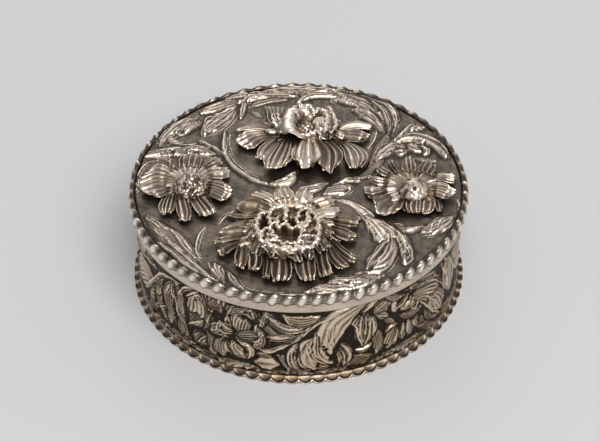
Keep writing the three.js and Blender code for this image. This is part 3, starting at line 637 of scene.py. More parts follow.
low = [0.8, 1.1, 1.1, 0.9]
high = [0.9, 1.3, 1.3, 1.1]
wallPads = [
    # long tapering strands that fill the ground
    (0.35, 6, high, [0.3, 2.0, 2.4, 1.6, 0.3], [(-43, 21), (-48.5, 18.5), (-51, 14.5), (-50, 10),
                                                (-46.5, 6)]),
    (0.4, 5, high, [0.3, 1.6, 1.8, 0.9, 0.3], [(-53, 19), (-56.5, 15.5), (-57.5, 11), (-55, 7), (-51.5, 4)]),
    (0.3, 5, high, [0.3, 1.4, 1.4, 0.4], [(-60, 13), (-62.5, 9.5), (-62.5, 6), (-59.5, 3)]),
    (0.1, 7, high, [0.6, 3.0, 4.4, 3.6], [(-58, 19.6), (-63, 21), (-69, 21.4), (-76, 20)]),
    (0.45, 4, low, [0.3, 1.2, 1.2, 0.3], [(-52, 3.4), (-47, 2.8), (-42, 3), (-38, 3.6)]),
    (0.3, 4, high, [0.3, 1.5, 1.6, 0.3], [(-47, 12.5), (-44.5, 9.5), (-43.5, 6.5), (-40, 4.4)]),
    (0.3, 4, high, [0.3, 1.3, 1.3, 0.3], [(-46.5, 22.6), (-44.6, 18), (-44.4, 14), (-42.4, 10.4)]),
    (0.35, 5, high, [0.3, 1.3, 1.5, 0.4], [(-34.2, 22.8), (-33.6, 19), (-33.4, 16), (-31.6, 13)]),
    (0.35, 6, high, [0.3, 1.6, 1.8, 0.5], [(-26, 22.8), (-23, 21), (-20, 21.6), (-15.4, 22.8)]),
    (0.3, 5, high, [0.3, 1.4, 1.4, 0.3], [(-33, 10.5), (-31, 8), (-31, 5), (-28.6, 2.6)]),
    (0.4, 5, low, [0.3, 1.2, 1.2, 0.3], [(-30, 2.6), (-25, 2.4), (-19, 2.6), (-14, 3)]),
    (0.35, 5, high, [0.3, 1.6, 1.8, 0.4], [(-15, 18), (-13.4, 14.4), (-13.6, 11.6), (-15.6, 9)]),
    (0.35, 6, high, [0.3, 1.7, 2.0, 1.3, 0.3], [(-13.5, 21.8), (-9.4, 17), (-4.6, 14.6), (0.4, 16),
                                                (4.6, 18.6)]),
    (0.3, 5, high, [0.3, 1.3, 1.5, 0.3], [(-7.6, 8.6), (-5, 7), (-3.4, 4.6), (-3.6, 2.6)]),
    (0.35, 6, high, [0.3, 1.8, 2.0, 0.3], [(12.5, 8), (16, 5.2), (21, 4.2), (27, 4.6)]),
    (0.3, 5, high, [0.3, 1.3, 1.6, 0.4], [(24, 23), (29, 23.2), (34, 21.4), (38, 21)]),
    (0.35, 5, high, [0.3, 1.2, 1.4, 0.3], [(36, 14.6), (40, 13), (43.6, 12.6), (47, 13)]),
    (0.35, 6, high, [0.3, 1.6, 1.8, 0.4], [(38, 22), (44, 21.8), (50, 20.6), (57, 18)]),
    (0.3, 6, high, [0.3, 1.6, 1.8, 0.4], [(27, 14), (27.6, 10.4), (28.4, 7), (27, 4)]),
    (0.35, 5, high, [0.3, 1.4, 1.4, 0.3], [(44, 12), (45, 8.6), (48.4, 5.6), (54, 3.6)]),
    (0.35, 5, high, [0.3, 1.4, 1.4, 0.3], [(49, 10.8), (51, 7.4), (55.6, 5), (60, 3.6)]),
    (0.4, 4, low, [0.3, 1.0, 1.0, 0.3], [(32, 3.4), (37, 2.8), (42, 3), (46, 3.6)]),
    # far left flower
    (0.05, 8, high, [1.38, 3.91, 5.29, 4.6], [(-60, 14.6), (-65, 13.4), (-70, 11.4), (-77, 8)]),
    (0.5, 5, low, [0.92, 1.84, 1.38], [(-58, 6), (-62, 4.6), (-66, 3.4)]),
    (0.2, 0, high, [0.69, 1.38, 1.03], [(-56, 15.4), (-57, 13), (-58.6, 10.8)]),
    (0.2, 3, low, [0.8, 1.26, 0.69], [(-52, 8), (-50.6, 6.8), (-50.2, 5)]),
    (0.3, 0, low, [1.15, 1.61, 1.15], [(-45.4, 9), (-44.6, 6.6), (-44.4, 4.4)]),
    (0.35, 3, low, [0.8, 1.15, 0.92, 0.57], [(-60, 21), (-62.4, 21.4), (-64, 21.4), (-66, 20.4)]),
    # bell
    (0.05, 5, high, [1.2, 2.9, 3.2, 2.0], [(-37, 21), (-36.9, 18.6), (-37.4, 16), (-38.6, 13.6)]),
    (0.45, 7, low, [1.38, 2.76, 2.07], [(-36.4, 15), (-37.6, 12.6), (-39.4, 11)]),
    (0.6, 0, low, [0.92, 2.99, 2.53], [(-33.2, 8.8), (-35.4, 6.8), (-37.4, 5.2)]),
    (0.3, 0, low, [0.57, 0.92, 0.69], [(-31.4, 19.4), (-30.9, 18.6), (-30.6, 18)]),
    # open flower
    (0.55, 0, low, [1.84, 2.99, 1.84], [(-31, 23), (-29, 21.4), (-27, 19.4)]),
    (0.14, 7, high, [1.38, 2.76, 2.99, 1.84], [(-20.6, 14.4), (-20, 16.4), (-19.4, 18), (-18.4, 19.6)]),
    (0.42, 5, high, [0.92, 1.84, 2.07], [(-21.4, 13), (-18.4, 13.4), (-14.6, 14)]),
    (0.45, 0, high, [0.92, 2.07, 2.3, 1.61], [(-23, 13), (-26, 13.6), (-28.6, 13), (-30.6, 11.8)]),
    (0.4, 0, high, [0.57, 1.03, 0.92], [(-23.4, 15), (-24.4, 16.8), (-24.4, 18.4)]),
    (0.2, 6, high, [0.92, 2.07, 2.53, 1.84], [(-26.6, 10), (-27.2, 8), (-27.2, 6), (-26.6, 4.4)]),
    (0.25, 5, high, [0.92, 1.72, 2.07, 1.03], [(-23, 10), (-21.8, 8), (-20, 6.6), (-18.4, 5.4)]),
    (0.2, 0, high, [1.03, 1.38, 1.15], [(-19.6, 10.4), (-16.6, 8.6), (-17.2, 5.8)]),
    (0.1, 2, low, [1.9, 2.5, 1.9], [(-14.4, 4.8), (-11, 5), (-7.4, 4.8)]),
    (0.35, 0, low, [0.57, 0.92, 0.57], [(-14.4, 7.8), (-12.4, 8), (-9.6, 7.4)]),
    # leaf sprays
    (0.2, 5, high, [0.57, 1.72, 2.07, 1.61, 0.57], [(-5.2, 22.2), (-2.6, 20.6), (1, 20), (4.4, 20.8),
                                                    (7.4, 21.8)]),
    (0.4, 5, low, [0.46, 1.38, 1.84, 1.03], [(-12, 22), (-9, 19.6), (-4.4, 17.4), (1.6, 17)]),
    (0.4, 3, low, [0.46, 1.15, 1.03, 0.57], [(-11, 14.4), (-8, 14.2), (-4, 14.6), (0, 15.6)]),
    (0.5, 3, low, [0.57, 1.03, 0.69], [(-12, 17.6), (-11.4, 20), (-10.6, 22.6)]),
    # curled acanthus
    (0.05, 4, high, [1.0, 2.4, 3.9, 3.8, 3.0, 1.4],
     [(23, 23.4), (17, 21.6), (12.6, 18.6), (10.4, 15), (9.8, 12), (10.8, 8.6)]),
    (0.12, 4, high, [1.6, 3.1, 3.4, 2.4], [(6, 14.4), (3.4, 10.8), (3, 7), (5.2, 4.2)]),
    (0.05, 3, high, [1.3, 2.1, 1.7, 0.9], [(6.2, 11), (7, 7.8), (9, 6.2), (11.4, 5)]),
    (0.3, 0, high, [0.57, 0.69, 0.46], [(6.6, 4.6), (8.4, 4), (10.4, 4.4)]),
    (0.55, 0, low, [0.92, 1.72, 1.84, 1.03], [(-0.4, 12), (-2, 9), (-1.8, 6), (-0.4, 3.6)]),
    (0.5, 0, high, [1.03, 1.95, 1.95, 0.92], [(14.2, 10.4), (15.8, 8), (16, 5.6), (15.2, 3.6)]),
    # hanging leaf
    (0.5, 0, high, [1.61, 3.33, 2.99, 1.15], [(22.8, 20), (22.8, 16.4), (22.8, 12.6), (22.2, 8.8)]),
    (0.4, 0, low, [0.69, 0.92, 0.57], [(26, 16.6), (26.4, 14), (25.8, 11.4)]),
    (0.25, 0, low, [0.69, 1.03, 0.8], [(19.6, 7.6), (22.4, 7.4), (25.4, 8.4)]),
    (0.4, 2, low, [0.46, 0.92, 0.46], [(21.8, 20.4), (24, 21.8), (27.2, 23.2)]),
    # right flower heads and the long leaf
    (0.25, 7, high, [1.03, 2.53, 2.76, 1.38], [(26, 19), (28, 20), (30, 20.4), (32, 20.6)]),
    (0.3, 3, high, [0.69, 1.38, 0.8], [(26.6, 18.4), (29.4, 17.2), (31.6, 15.8)]),
    (0.3, 3, low, [0.57, 1.03, 0.57], [(30, 15.8), (32, 14.4), (34.4, 12.8)]),
    (0.12, 0, high, [0.8, 1.15, 0.92], [(34.4, 20), (34, 18.2), (34.4, 16.8)]),
    (0.2, 0, high, [0.69, 1.49, 1.61, 1.15], [(36.6, 16.4), (39, 16.4), (41.4, 16.4), (44.4, 15.4)]),
    (0.15, 6, high, [1.03, 2.53, 3.45, 2.76], [(41, 18.6), (46, 17.8), (51, 16.4), (56, 14)]),
    (0.15, 6, high, [1.38, 3.22, 3.68, 1.38], [(51, 14), (54.6, 11.4), (57.6, 8.6), (60, 5)]),
    (0.2, 6, high, [0.92, 2.3, 2.53, 1.38], [(34.6, 11), (34, 9), (33, 7), (32, 5)]),
    (0.45, 2, low, [0.46, 0.8, 0.57], [(30.6, 10.4), (32.6, 11.8), (35.4, 12)]),
    (0.3, 4, low, [0.92, 1.61, 1.38], [(38.2, 10.8), (38, 8), (38.6, 5.6)]),
    (0.3, 4, low, [0.92, 1.49, 1.15], [(41, 10.8), (41.4, 8), (42, 5.8)]),
    (0.5, 3, low, [0.69, 1.26, 0.92], [(45.6, 9.4), (47, 8), (48, 6.6)]),
    (0.5, 3, low, [0.57, 1.15, 0.69], [(47, 4.6), (51, 3.4), (55, 2.4)]),
    (0.1, 7, high, [1.15, 3.22, 4.14, 2.99], [(61, 21.4), (63.6, 17), (66, 12), (67, 8)]),
    (0.12, 7, high, [1.15, 2.99, 4.14, 3.45], [(69, 22), (73, 18), (77, 13), (80, 8)]),
    (0.4, 3, low, [0.46, 1.03, 0.57], [(59.6, 3.6), (63, 3.4), (67, 4)]),
    (0.5, 2, low, [0.46, 0.92, 0.69], [(44, 22.6), (49, 21.8), (54, 21)]),
]

wallRidges = [
    (0.55, 0.4, [(-44.5, 21.6), (-50.5, 21), (-55.5, 19.4), (-58.5, 16.8), (-62, 13.4), (-66, 9.6),
                 (-68, 7.6)]),
    (0.5, 0.4, [(-49, 19.6), (-50, 18), (-51, 16.4), (-51.8, 15)]),
    (0.5, 0.4, [(-48, 19.6), (-48.2, 17), (-47, 14), (-46.2, 11.8), (-45, 10.6)]),
    (0.45, 0.4, [(-38, 23), (-41, 22), (-43, 20.8), (-44.8, 18.2)]),
    (0.5, 0.4, [(-36, 22.6), (-38.6, 21), (-41.6, 18.8)]),
    (0.3, 0.3, [(-57, 9.6), (-58.6, 7.4), (-60.4, 5.6)]),
    (0.35, 0.3, [(-53, 9.4), (-55.5, 8), (-58, 7)]),
    (0.25, 0.2, [(-61.6, 10.6), (-62.8, 8), (-64, 5.6)]),
    (0.4, 0.4, [(-34.4, 21), (-36, 21.4), (-37.6, 20.8), (-38.4, 19.6)]),
    (0.5, 0.4, [(-34.4, 13.4), (-36.6, 12.2), (-39, 10.8), (-41.2, 9.2)]),
    (0.28, 0.35, [(-33, 8.8), (-35, 7), (-36.4, 5.2), (-36.8, 4.4)]),
    (0.25, 0.35, [(-36, 8.4), (-38, 6.8), (-39, 5)]),
    (0.22, 0.3, [(-37.5, 8), (-39.6, 6)]),
    (0.25, 0.3, [(-33.4, 7.6), (-34.4, 5.6), (-34.6, 5)]),
    (0.22, 0.25, [(-32, 7.8), (-32.4, 5.4)]),
    (0.25, 0.3, [(-32.8, 23.4), (-32.8, 21.6), (-31.8, 19.8)]),
    (0.25, 0.3, [(-31.4, 23.6), (-30.8, 21.6), (-29.8, 20.4)]),
    (0.25, 0.3, [(-30, 23), (-29.4, 21.4), (-28.8, 20.6)]),
    (0.5, 0.4, [(-27.6, 23.6), (-27.3, 22.2)]),
    (0.25, 0.3, [(-25.6, 23.4), (-25.6, 21.4)]),
    (0.3, 0.4, [(-22.6, 23), (-23, 21.4), (-24, 20), (-24.8, 18.6)]),
    (0.25, 0.3, [(-30.8, 18), (-31.2, 16.4), (-32.2, 14.4), (-33.8, 10.8)]),
    (0.3, 0.4, [(-24, 18.6), (-24.9, 17.2), (-25.2, 15.8), (-26.6, 15.4), (-27.8, 15.6), (-28.4, 14),
                (-28.6, 13),
                (-29.8, 12.4), (-31.2, 12.6), (-31.2, 11.4)]),
    (0.35, 0.4, [(-22.6, 13.8), (-24.6, 14.6), (-26.6, 15.4)]),
    (0.4, 0.4, [(-23.4, 12.6), (-26, 12.8), (-28.4, 13.2)]),
    (0.35, 0.4, [(-24.6, 11.2), (-27.4, 11.4), (-30.4, 11)]),
    (0.4, 0.4, [(-19.4, 22), (-18, 21.2), (-16.4, 20), (-15.2, 19.4)]),
    (0.35, 0.4, [(-16, 22.6), (-15.4, 21), (-14.9, 19.8)]),
    (0.3, 0.3, [(-22.4, 17), (-21.6, 19.2), (-20.4, 20.8)]),
    (0.4, 0.4, [(-13.4, 20), (-12.6, 19), (-12.9, 17.7), (-11.8, 17.8)]),
    (0.35, 0.4, [(-14.2, 17.8), (-14.7, 16.2)]),
    (0.3, 0.4, [(-13.2, 16.2), (-13.1, 15), (-14, 14.6)]),
    (0.35, 0.4, [(-13.2, 13.8), (-13.6, 12.6), (-15.2, 12), (-16.8, 12)]),
    (0.45, 0.4, [(-21.4, 12), (-21, 11), (-19.6, 10.4), (-17.6, 10.4), (-16.4, 9), (-16.6, 6.6),
                 (-18.2, 5.2)]),
    (0.35, 0.4, [(-23.4, 10.4), (-22.4, 7.8), (-20, 5.8)]),
    (0.3, 0.4, [(-22.2, 10), (-21, 8.2), (-19.2, 6.8)]),
    (0.3, 0.4, [(-25.6, 9.6), (-25, 7), (-23.2, 5.2)]),
    (0.3, 0.4, [(-24.6, 9.6), (-23.8, 7.2), (-21.8, 5.2)]),
    (0.6, 0.5, [(-14.4, 10), (-12, 9.1), (-9.6, 8.9), (-8, 9.6), (-5.6, 10.8), (-3, 12.2)]),
    (0.5, 0.5, [(-3.4, 12), (-1, 13.4), (1, 14.8), (3, 16.6), (5, 18.2), (7.4, 19.6), (10, 20.8), (14, 22)]),
    (0.5, 0.4, [(-8, 20), (-6, 18.6), (-3.4, 17.8), (0, 17.7), (2.6, 18.2)]),
    (0.35, 0.3, [(-12, 22.6), (-9.6, 21), (-8, 20)]),
    (0.55, 0.4, [(-9.6, 14.4), (-5.6, 14.6), (-3.2, 15.1)]),
    (0.35, 0.3, [(-4.6, 15.9), (-2, 16.5), (0.6, 16.6)]),
    (0.35, 0.3, [(-10, 13), (-7, 13.2), (-4, 13.6)]),
    (0.45, 0.4, [(-5, 22.4), (-3.4, 20.2), (-2, 19.2)]),
    (0.4, 0.4, [(5.8, 16.6), (5.4, 14), (5.2, 11), (5.6, 8.8), (7.2, 7)]),
    (0.4, 0.4, [(2.6, 13), (2.8, 10.6), (3.8, 8), (5.6, 6), (8, 5)]),
    (0.35, 0.4, [(0.8, 10.4), (1, 8), (2, 6), (4, 4.2), (6, 3.4), (9, 3.4)]),
    (0.3, 0.4, [(0.4, 9.6), (0, 7), (0.8, 5), (2.4, 3.4), (3.6, 2.8)]),
    (0.3, 0.4, [(-1, 12), (-2.3, 10), (-2.3, 7.6), (-1.4, 5), (0, 2.8)]),
    (0.4, 0.4, [(0, 12.6), (-2, 11.4), (-3.4, 9), (-3.4, 6.4), (-2.6, 4.4), (-1.2, 3)]),
    (0.3, 0.3, [(4.2, 13.6), (3.8, 11), (4.4, 8.6), (6, 6.8)]),
    (0.3, 0.3, [(9.6, 18), (9.2, 15), (9.6, 12.6), (10.6, 10.4)]),
    (0.3, 0.3, [(12, 19), (11.2, 15.6), (11.4, 12.6), (12, 9.6)]),
    (0.45, 0.4, [(7.2, 11.4), (7.8, 9.4), (8.6, 8)]),
    (0.5, 0.4, [(14, 11.2), (15.8, 10), (17, 8.4), (17.6, 6.6), (17, 4.6), (16.4, 3.4)]),
    (0.3, 0.4, [(14.4, 9.6), (15.4, 7.4), (15.6, 5), (15, 3.4)]),
    (0.3, 0.4, [(12.8, 8.8), (13.6, 6.6), (13.8, 4.6), (13.4, 3.4)]),
    (0.4, 0.4, [(21, 19.8), (19.2, 18.2), (18.4, 17.2), (19.6, 16.2), (20, 14.4), (20.3, 12.6), (21.4, 10.6),
                (22, 8.6)]),
    (0.35, 0.4, [(21.6, 19.4), (21, 17), (20.9, 14), (21.6, 11.4)]),
    (0.3, 0.4, [(22.8, 19), (22.8, 16), (22.6, 12.6)]),
    (0.4, 0.4, [(24, 18.6), (24.6, 16), (24.4, 13), (23.6, 10.8), (22.4, 8.4)]),
    (0.4, 0.4, [(25.4, 18), (26.1, 15), (26.2, 13), (25.6, 11.2)]),
    (0.4, 0.3, [(22, 20.4), (23.6, 21.6), (27, 23.2)]),
    (0.5, 0.4, [(19.6, 8), (22, 7.8), (24, 8.2), (25.4, 8.8)]),
    (0.3, 0.3, [(26, 19.4), (28.6, 21), (31, 22)]),
    (0.3, 0.3, [(26.4, 18.6), (29, 19), (31.6, 18.6)]),
    (0.35, 0.3, [(27, 18), (29.4, 17.4), (31.2, 16.6)]),
    (0.6, 0.5, [(34.6, 20.2), (33.4, 19.6), (33.2, 18), (33.9, 16.6)]),
    (0.5, 0.5, [(34.2, 17.4), (36, 17.4), (38, 18), (39.4, 19.2), (40.2, 20.2)]),
    (0.4, 0.4, [(37, 15.6), (38.8, 16.8), (41.4, 18.2)]),
    (0.4, 0.4, [(40.6, 15.8), (42, 17.4), (43.2, 18)]),
    (0.35, 0.4, [(42.2, 16), (42.4, 14.2), (44.2, 13.8), (45.4, 15), (45, 16.6)]),
    (0.5, 0.4, [(47.2, 15.8), (46.8, 14.4), (48.2, 13), (50, 11.4), (52, 9), (54, 7), (57, 5.4),
                (58.8, 3.4)]),
    (0.35, 0.3, [(50.6, 14.4), (51.6, 12.8)]),
    (0.3, 0.3, [(40.4, 20.2), (46, 20.3), (51, 19.6), (54.6, 18), (57, 15.8), (60, 13.4), (61.6, 10),
                (61, 6.6)]),
    (0.28, 0.3, [(51, 13.6), (54, 10.6), (57, 7.4)]),
    (0.28, 0.3, [(53.4, 14.2), (57, 9.6), (59, 6.6)]),
    (0.28, 0.3, [(55, 14), (59, 10), (60.4, 7)]),
    (0.45, 0.4, [(30.8, 10.8), (32.6, 12), (35, 12)]),
    (0.5, 0.4, [(36, 10.4), (35, 7.6), (34, 5)]),
    (0.4, 0.3, [(38.4, 11), (37.6, 8), (38, 5.6)]),
    (0.4, 0.3, [(40.6, 11), (40.2, 8), (41.2, 5.4)]),
    (0.5, 0.5, [(43, 9.8), (43.4, 8.4), (44.2, 7)]),
    (0.45, 0.4, [(58.4, 21.6), (60, 18.4), (62, 15), (64, 11), (66, 7.6)]),
    (0.35, 0.3, [(63, 22), (65.4, 18), (68, 14.4), (69, 10)]),
    (0.35, 0.3, [(66.6, 23), (69.6, 17), (71, 12), (71.4, 8)]),
    (0.3, 0.2, [(-25, 2.2), (-23.4, 1.8), (-21.4, 2.2), (-20, 3)]),
]

wallPits = [(-36.8, 19.8, 0.5), (-24.3, 16.6, 0.6), (-18.6, 19.6, 0.8), (-17.8, 21.6, 0.6),
            (-18.2, 7.8, 0.7),
            (-18.4, 9, 0.5), (8.4, 11.2, 0.5), (9.2, 10.2, 0.6), (11, 6.4, 0.8), (6.2, 4.5, 0.5),
            (43.4, 15.2, 0.6),
            (31, 6, 0.6), (-26.6, 14.3, 0.4), (-27.4, 12.1, 0.4), (35, 18.8, 0.5), (-15.6, 18.4, 0.7),
            (0.6, 22.8, 0.9)]


def placeOnWall(points, turn=0.0):
    return [((a + turn) * degree, z) for a, z in points]


def makeWall(s):
    full = 360 * degree
    turns = (np.arange(s["steps"]) + 0.5) / s["steps"] * 360 - 180
    rows = np.linspace(s["bottom"], s["top"], s["rows"] + 1)
    x, y = np.meshgrid(turns * degree, rows, indexing="ij")
    around = turns[:, None] / 180 * math.pi
    # the ground is covered with fine flowing strokes
    flow = mottle(s["mid"] * np.cos(around) + 0 * y, s["mid"] * np.sin(around) + 1.3 * y, 17, (13, 8, 5))
    chased = np.abs(np.sin(math.pi * (3.2 * flow + 0.25 * y))) ** 3
    field = {"x": x, "y": y, "h": 0.05 + 0.15 * chased}
    field["tone"] = s["groundTone"] - 0.22 * chased
    # the side that the camera doesn't see repeats the leaves of the front
    places = [(turn + lap, turn) for turn in (0, *s["repeats"]) for lap in (0, -360)]

    def drawn(shapes, carve):
        for shift, turn in places:
            for shape in shapes:
                *numbers, points = shape
                if turn and max(abs(a) for a, z in points) > s["widest"]:
                    continue
                line = placeOnWall(points, shift)
                if any(abs(a) < full / 2 + 4 for a, z in line):
                    carve(field, (*numbers, line))

    longRidges = [ridge for ridge in wallRidges if len(ridge[2]) > 2]
    drawn(wallPads, lambda f, pad: carvePad(f, pad, s["trench"], s["sharp"]))
    drawn(longRidges, lambda f, ridge: carveRidge(f, besideRidge(ridge, companionGap)))
    drawn(wallRidges, lambda f, ridge: carveRidge(f, ridge, s["beads"]))
    for shift, turn in places:
        for a, z, size in wallPits:
            if abs(a) < s["widest"]:
                carvePit(field, (a + shift) * degree, z, size)
    crumple = np.clip((3.6 - y) / 1.6, 0, 1)  # the worn strip above the foot
    h = softened(field["h"], 0.45, True) + 0.03 * mottle(x, y, 9, (7, 3, 1.7))
    h = h + crumple * (0.35 + 0.3 * mottle(x, y, 21, (2.4, 1.5)))
    edge = np.clip(np.minimum(rows - s["bottom"], s["top"] - rows) / 0.6, 0, 1)
    h = np.clip(h * 0.85, 0.0, s["relief"]) * edge[None, :]
    hollow = softened(field["tone"], 0.3, True) - 0.5 * crumple * (0.6 + 0.5 * mottle(x, y, 23, (9, 4)))
    hollow = hollow + 0.4 * hollowOf(h, 3.0, 1.1, True) + 0.4 * hollowOf(h, 1.1, 3.2, True)
    hollow = np.clip(0.5 + 1.25 * (hollow - 0.4), 0, 1)
    profile = [(s["ground"], z) for z in rows]
    profile += [(s["inner"], z) for z in (s["top"], (s["top"] + s["bottom"]) / 2, s["bottom"])]
    bm = rolledRing(profile, s["steps"], 0.5)
    layer = bm.verts.layers.float.new("hollow")
    rise = (s["top"] - s["bottom"]) / s["rows"]
    for v in bm.verts:
        radius = v.co.xy.length
        if radius < s["ground"] - 0.2:
            v[layer] = 0.35
            continue
        angle = math.degrees(math.atan2(v.co.x, -v.co.y))
        i = int(round((angle + 180) / 360 * s["steps"] - 0.5)) % s["steps"]
        j = int(round((v.co.z - s["bottom"]) / rise))
        v.co.xy = v.co.xy * (1 + h[i, j] / radius)
        v[layer] = hollow[i, j]
    return finishMesh(bm, "body_relief", "box", ["body_wall"], wallSilver)


makeWall(wallSkin)


# Borders and plain bands

def spunRing(profile, steps):
    # a closed profile of (radius, height) points spun once round
    bm = bmesh.new()
    ring = [bm.verts.new((0, -r, z)) for r, z in profile]
    sides = [bm.edges.new((a, b)) for a, b in zip(ring, ring[1:] + ring[:1])]
    bmesh.ops.spin(bm, geom=ring + sides, cent=(0, 0, 0), axis=(0, 0, 1), angle=2 * math.pi, steps=steps,
                   use_merge=True)
    bmesh.ops.recalc_face_normals(bm, faces=bm.faces)
    return bm


# the lid's border: slanted beads that hang over the edge, with hollows between their inner ends, closer
# in front than at the back by crowding. Rows 0 to 10 of the profile are the strip, the others its back.
lidBorder = {"lobes": 68, "perLobe": 16, "bite": 0.55, "bead": 0.3, "slant": 0.35, "crowding": 1.5,
             "profile": [(43.05, 28.98), (43.05, 29.3), (43.4, 29.55), (43.8, 29.65), (44.15, 29.6),
                         (44.45, 29.35),
                         (44.65, 28.9), (44.78, 28.4), (44.85, 27.9), (44.88, 27.4), (44.8, 27.0),
                         (44.5, 27.1),
                         (44.3, 27.5), (44.25, 28.95)]}
# the foot's border: a row of small dished scallops, on rows 4 to 10 of the profile
footBorder = {"lobes": 80, "perLobe": 12, "bite": 0.6, "ridge": 0.5, "dish": 0.4,
              "profile": [(42.05, 0.02), (44.0, 0.02), (44.8, 0.04), (44.97, 0.16), (44.97, 0.36),
                          (44.8, 0.46),
                          (44.5, 0.5), (44.1, 0.62), (43.75, 0.8), (43.4, 1.0), (43.1, 1.12), (42.05, 1.12)]}


def profileRow(s, v):
    # which point of the profile a vertex came from
    return min(range(len(s["profile"])),
               key=lambda j: abs(s["profile"][j][0] - v.co.xy.length) + abs(s["profile"][j][1] - v.co.z))


def makeLidBorder(s):
    bm = rolledRing(s["profile"], s["lobes"] * s["perLobe"])
    layer = bm.verts.layers.float.new("hollow")
    rng = np.random.default_rng(5)
    uneven = rng.uniform(0.8, 1.1, s["lobes"])
    for v in bm.verts:
        k = profileRow(s, v)
        t = min(max((k - 1) / 8, 0), 1) if k < 11 else 0.5
        angle = math.atan2(v.co.y, v.co.x)
        turn = angle / (2 * math.pi) % 1 * s["lobes"] + s["crowding"] * math.cos(angle) + s["slant"] * t
        lobe = uneven[int(turn) % s["lobes"]]
        wave = (0.5 - 0.5 * math.cos(2 * math.pi * turn)) * lobe  # 1 in the middle of a bead
        swell = math.sin(math.pi * t ** 0.8)
        radius = v.co.xy.length
        v.co.xy = v.co.xy * (1 - s["bite"] * (1 - wave) * t / radius)
        v.co.z += s["bead"] * swell * (2 * wave - 1.2) + (0.5 * (1 - wave) if k >= 7 else 0)
        inner = min(max(1.2 - t / 0.5, 0), 1)
        crease = 1.1 * (1 - wave) ** 1.2 * (1 - 0.35 * t)
        v[layer] = min(0.45 * inner + crease, 1) if k < 9 else 0.8 if k > 9 else 0.4
    finishMesh(bm, "lid_border_lobes", "lid", ["lid_border"], borderSilver)


def makeFootBorder(s):
    bm = rolledRing(s["profile"], s["lobes"] * s["perLobe"])
    layer = bm.verts.layers.float.new("hollow")
    for v in bm.verts:
        k = profileRow(s, v)
        angle = math.atan2(v.co.y, v.co.x)
        wave = abs(math.sin(angle * s["lobes"] / 2))
        radius = v.co.xy.length
        out = min(max((radius - 42.8) / 2.0, 0), 1)
        v.co.xy = v.co.xy * (1 - s["bite"] * (1 - wave ** 0.7) * out / radius)
        bowl = math.sin(math.pi * min(max((k - 4) / 6.0, 0), 1)) if 4 <= k <= 10 else 0.0
        if k >= 4:
            v.co.z += s["ridge"] * (1 - wave) ** 1.3 * out - s["dish"] * wave * bowl
        v[layer] = 0.2 + 0.8 * (bowl * wave) ** 0.6 if 4 <= k <= 10 else 0.15 if k == 3 else 0.6
    finishMesh(bm, "foot_border_lobes", "box", ["foot_border"], footSilver)


makeLidBorder(lidBorder)
makeFootBorder(footBorder)

bandTone = 0.25
bandSteps = 256
plainBands = {
    "lid_band_plain": dict(body="lid", replaced="lid_band",
                           profile=[(42.25, 24.15), (43.6, 24.12), (43.9, 24.2), (43.98, 24.45),
                                    (43.94, 24.75),
                                    (43.86, 24.9), (43.86, 27.6), (43.7, 27.95), (42.25, 27.98)]),
    "collar_plain": dict(body="box", replaced="inner_collar",
                         profile=[(41.12, 1.25), (41.78, 1.25), (41.78, 27.1), (41.65, 27.36), (41.3, 27.36),
                                  (41.12, 27.1)]),
    "base_plain": dict(body="box", replaced="base_plate",
                       profile=[(0.4, 0.02), (41.5, 0.02), (41.68, 0.3), (41.68, 0.95), (40.9, 0.98),
                                (0.4, 0.98)]),
}

for name, s in plainBands.items():
    bm = spunRing(s["profile"], bandSteps)
    if name == "base_plain":
        openEnds = [v for v in bm.verts if v.co.xy.length < 0.5]
        for v in openEnds:
            v.co.xy = (0, 0)
        bmesh.ops.remove_doubles(bm, verts=openEnds, dist=0.001)
    layer = bm.verts.layers.float.new("hollow")
    for v in bm.verts:
        v[layer] = bandTone
    finishMesh(bm, name, s["body"], [s["replaced"]], plainSilver)


# Flowers. Edges and rims are read on the same plane as the lid's leaves, 29.9 mm up. What stands higher
# looks further back from the camera's angle, so it is moved forward by that much.

readingPlane = 29.9 - groundLevel
lean = 1.21


def standAt(x, y, z):
    return (x, y - lean * (z - readingPlane), groundLevel + z)


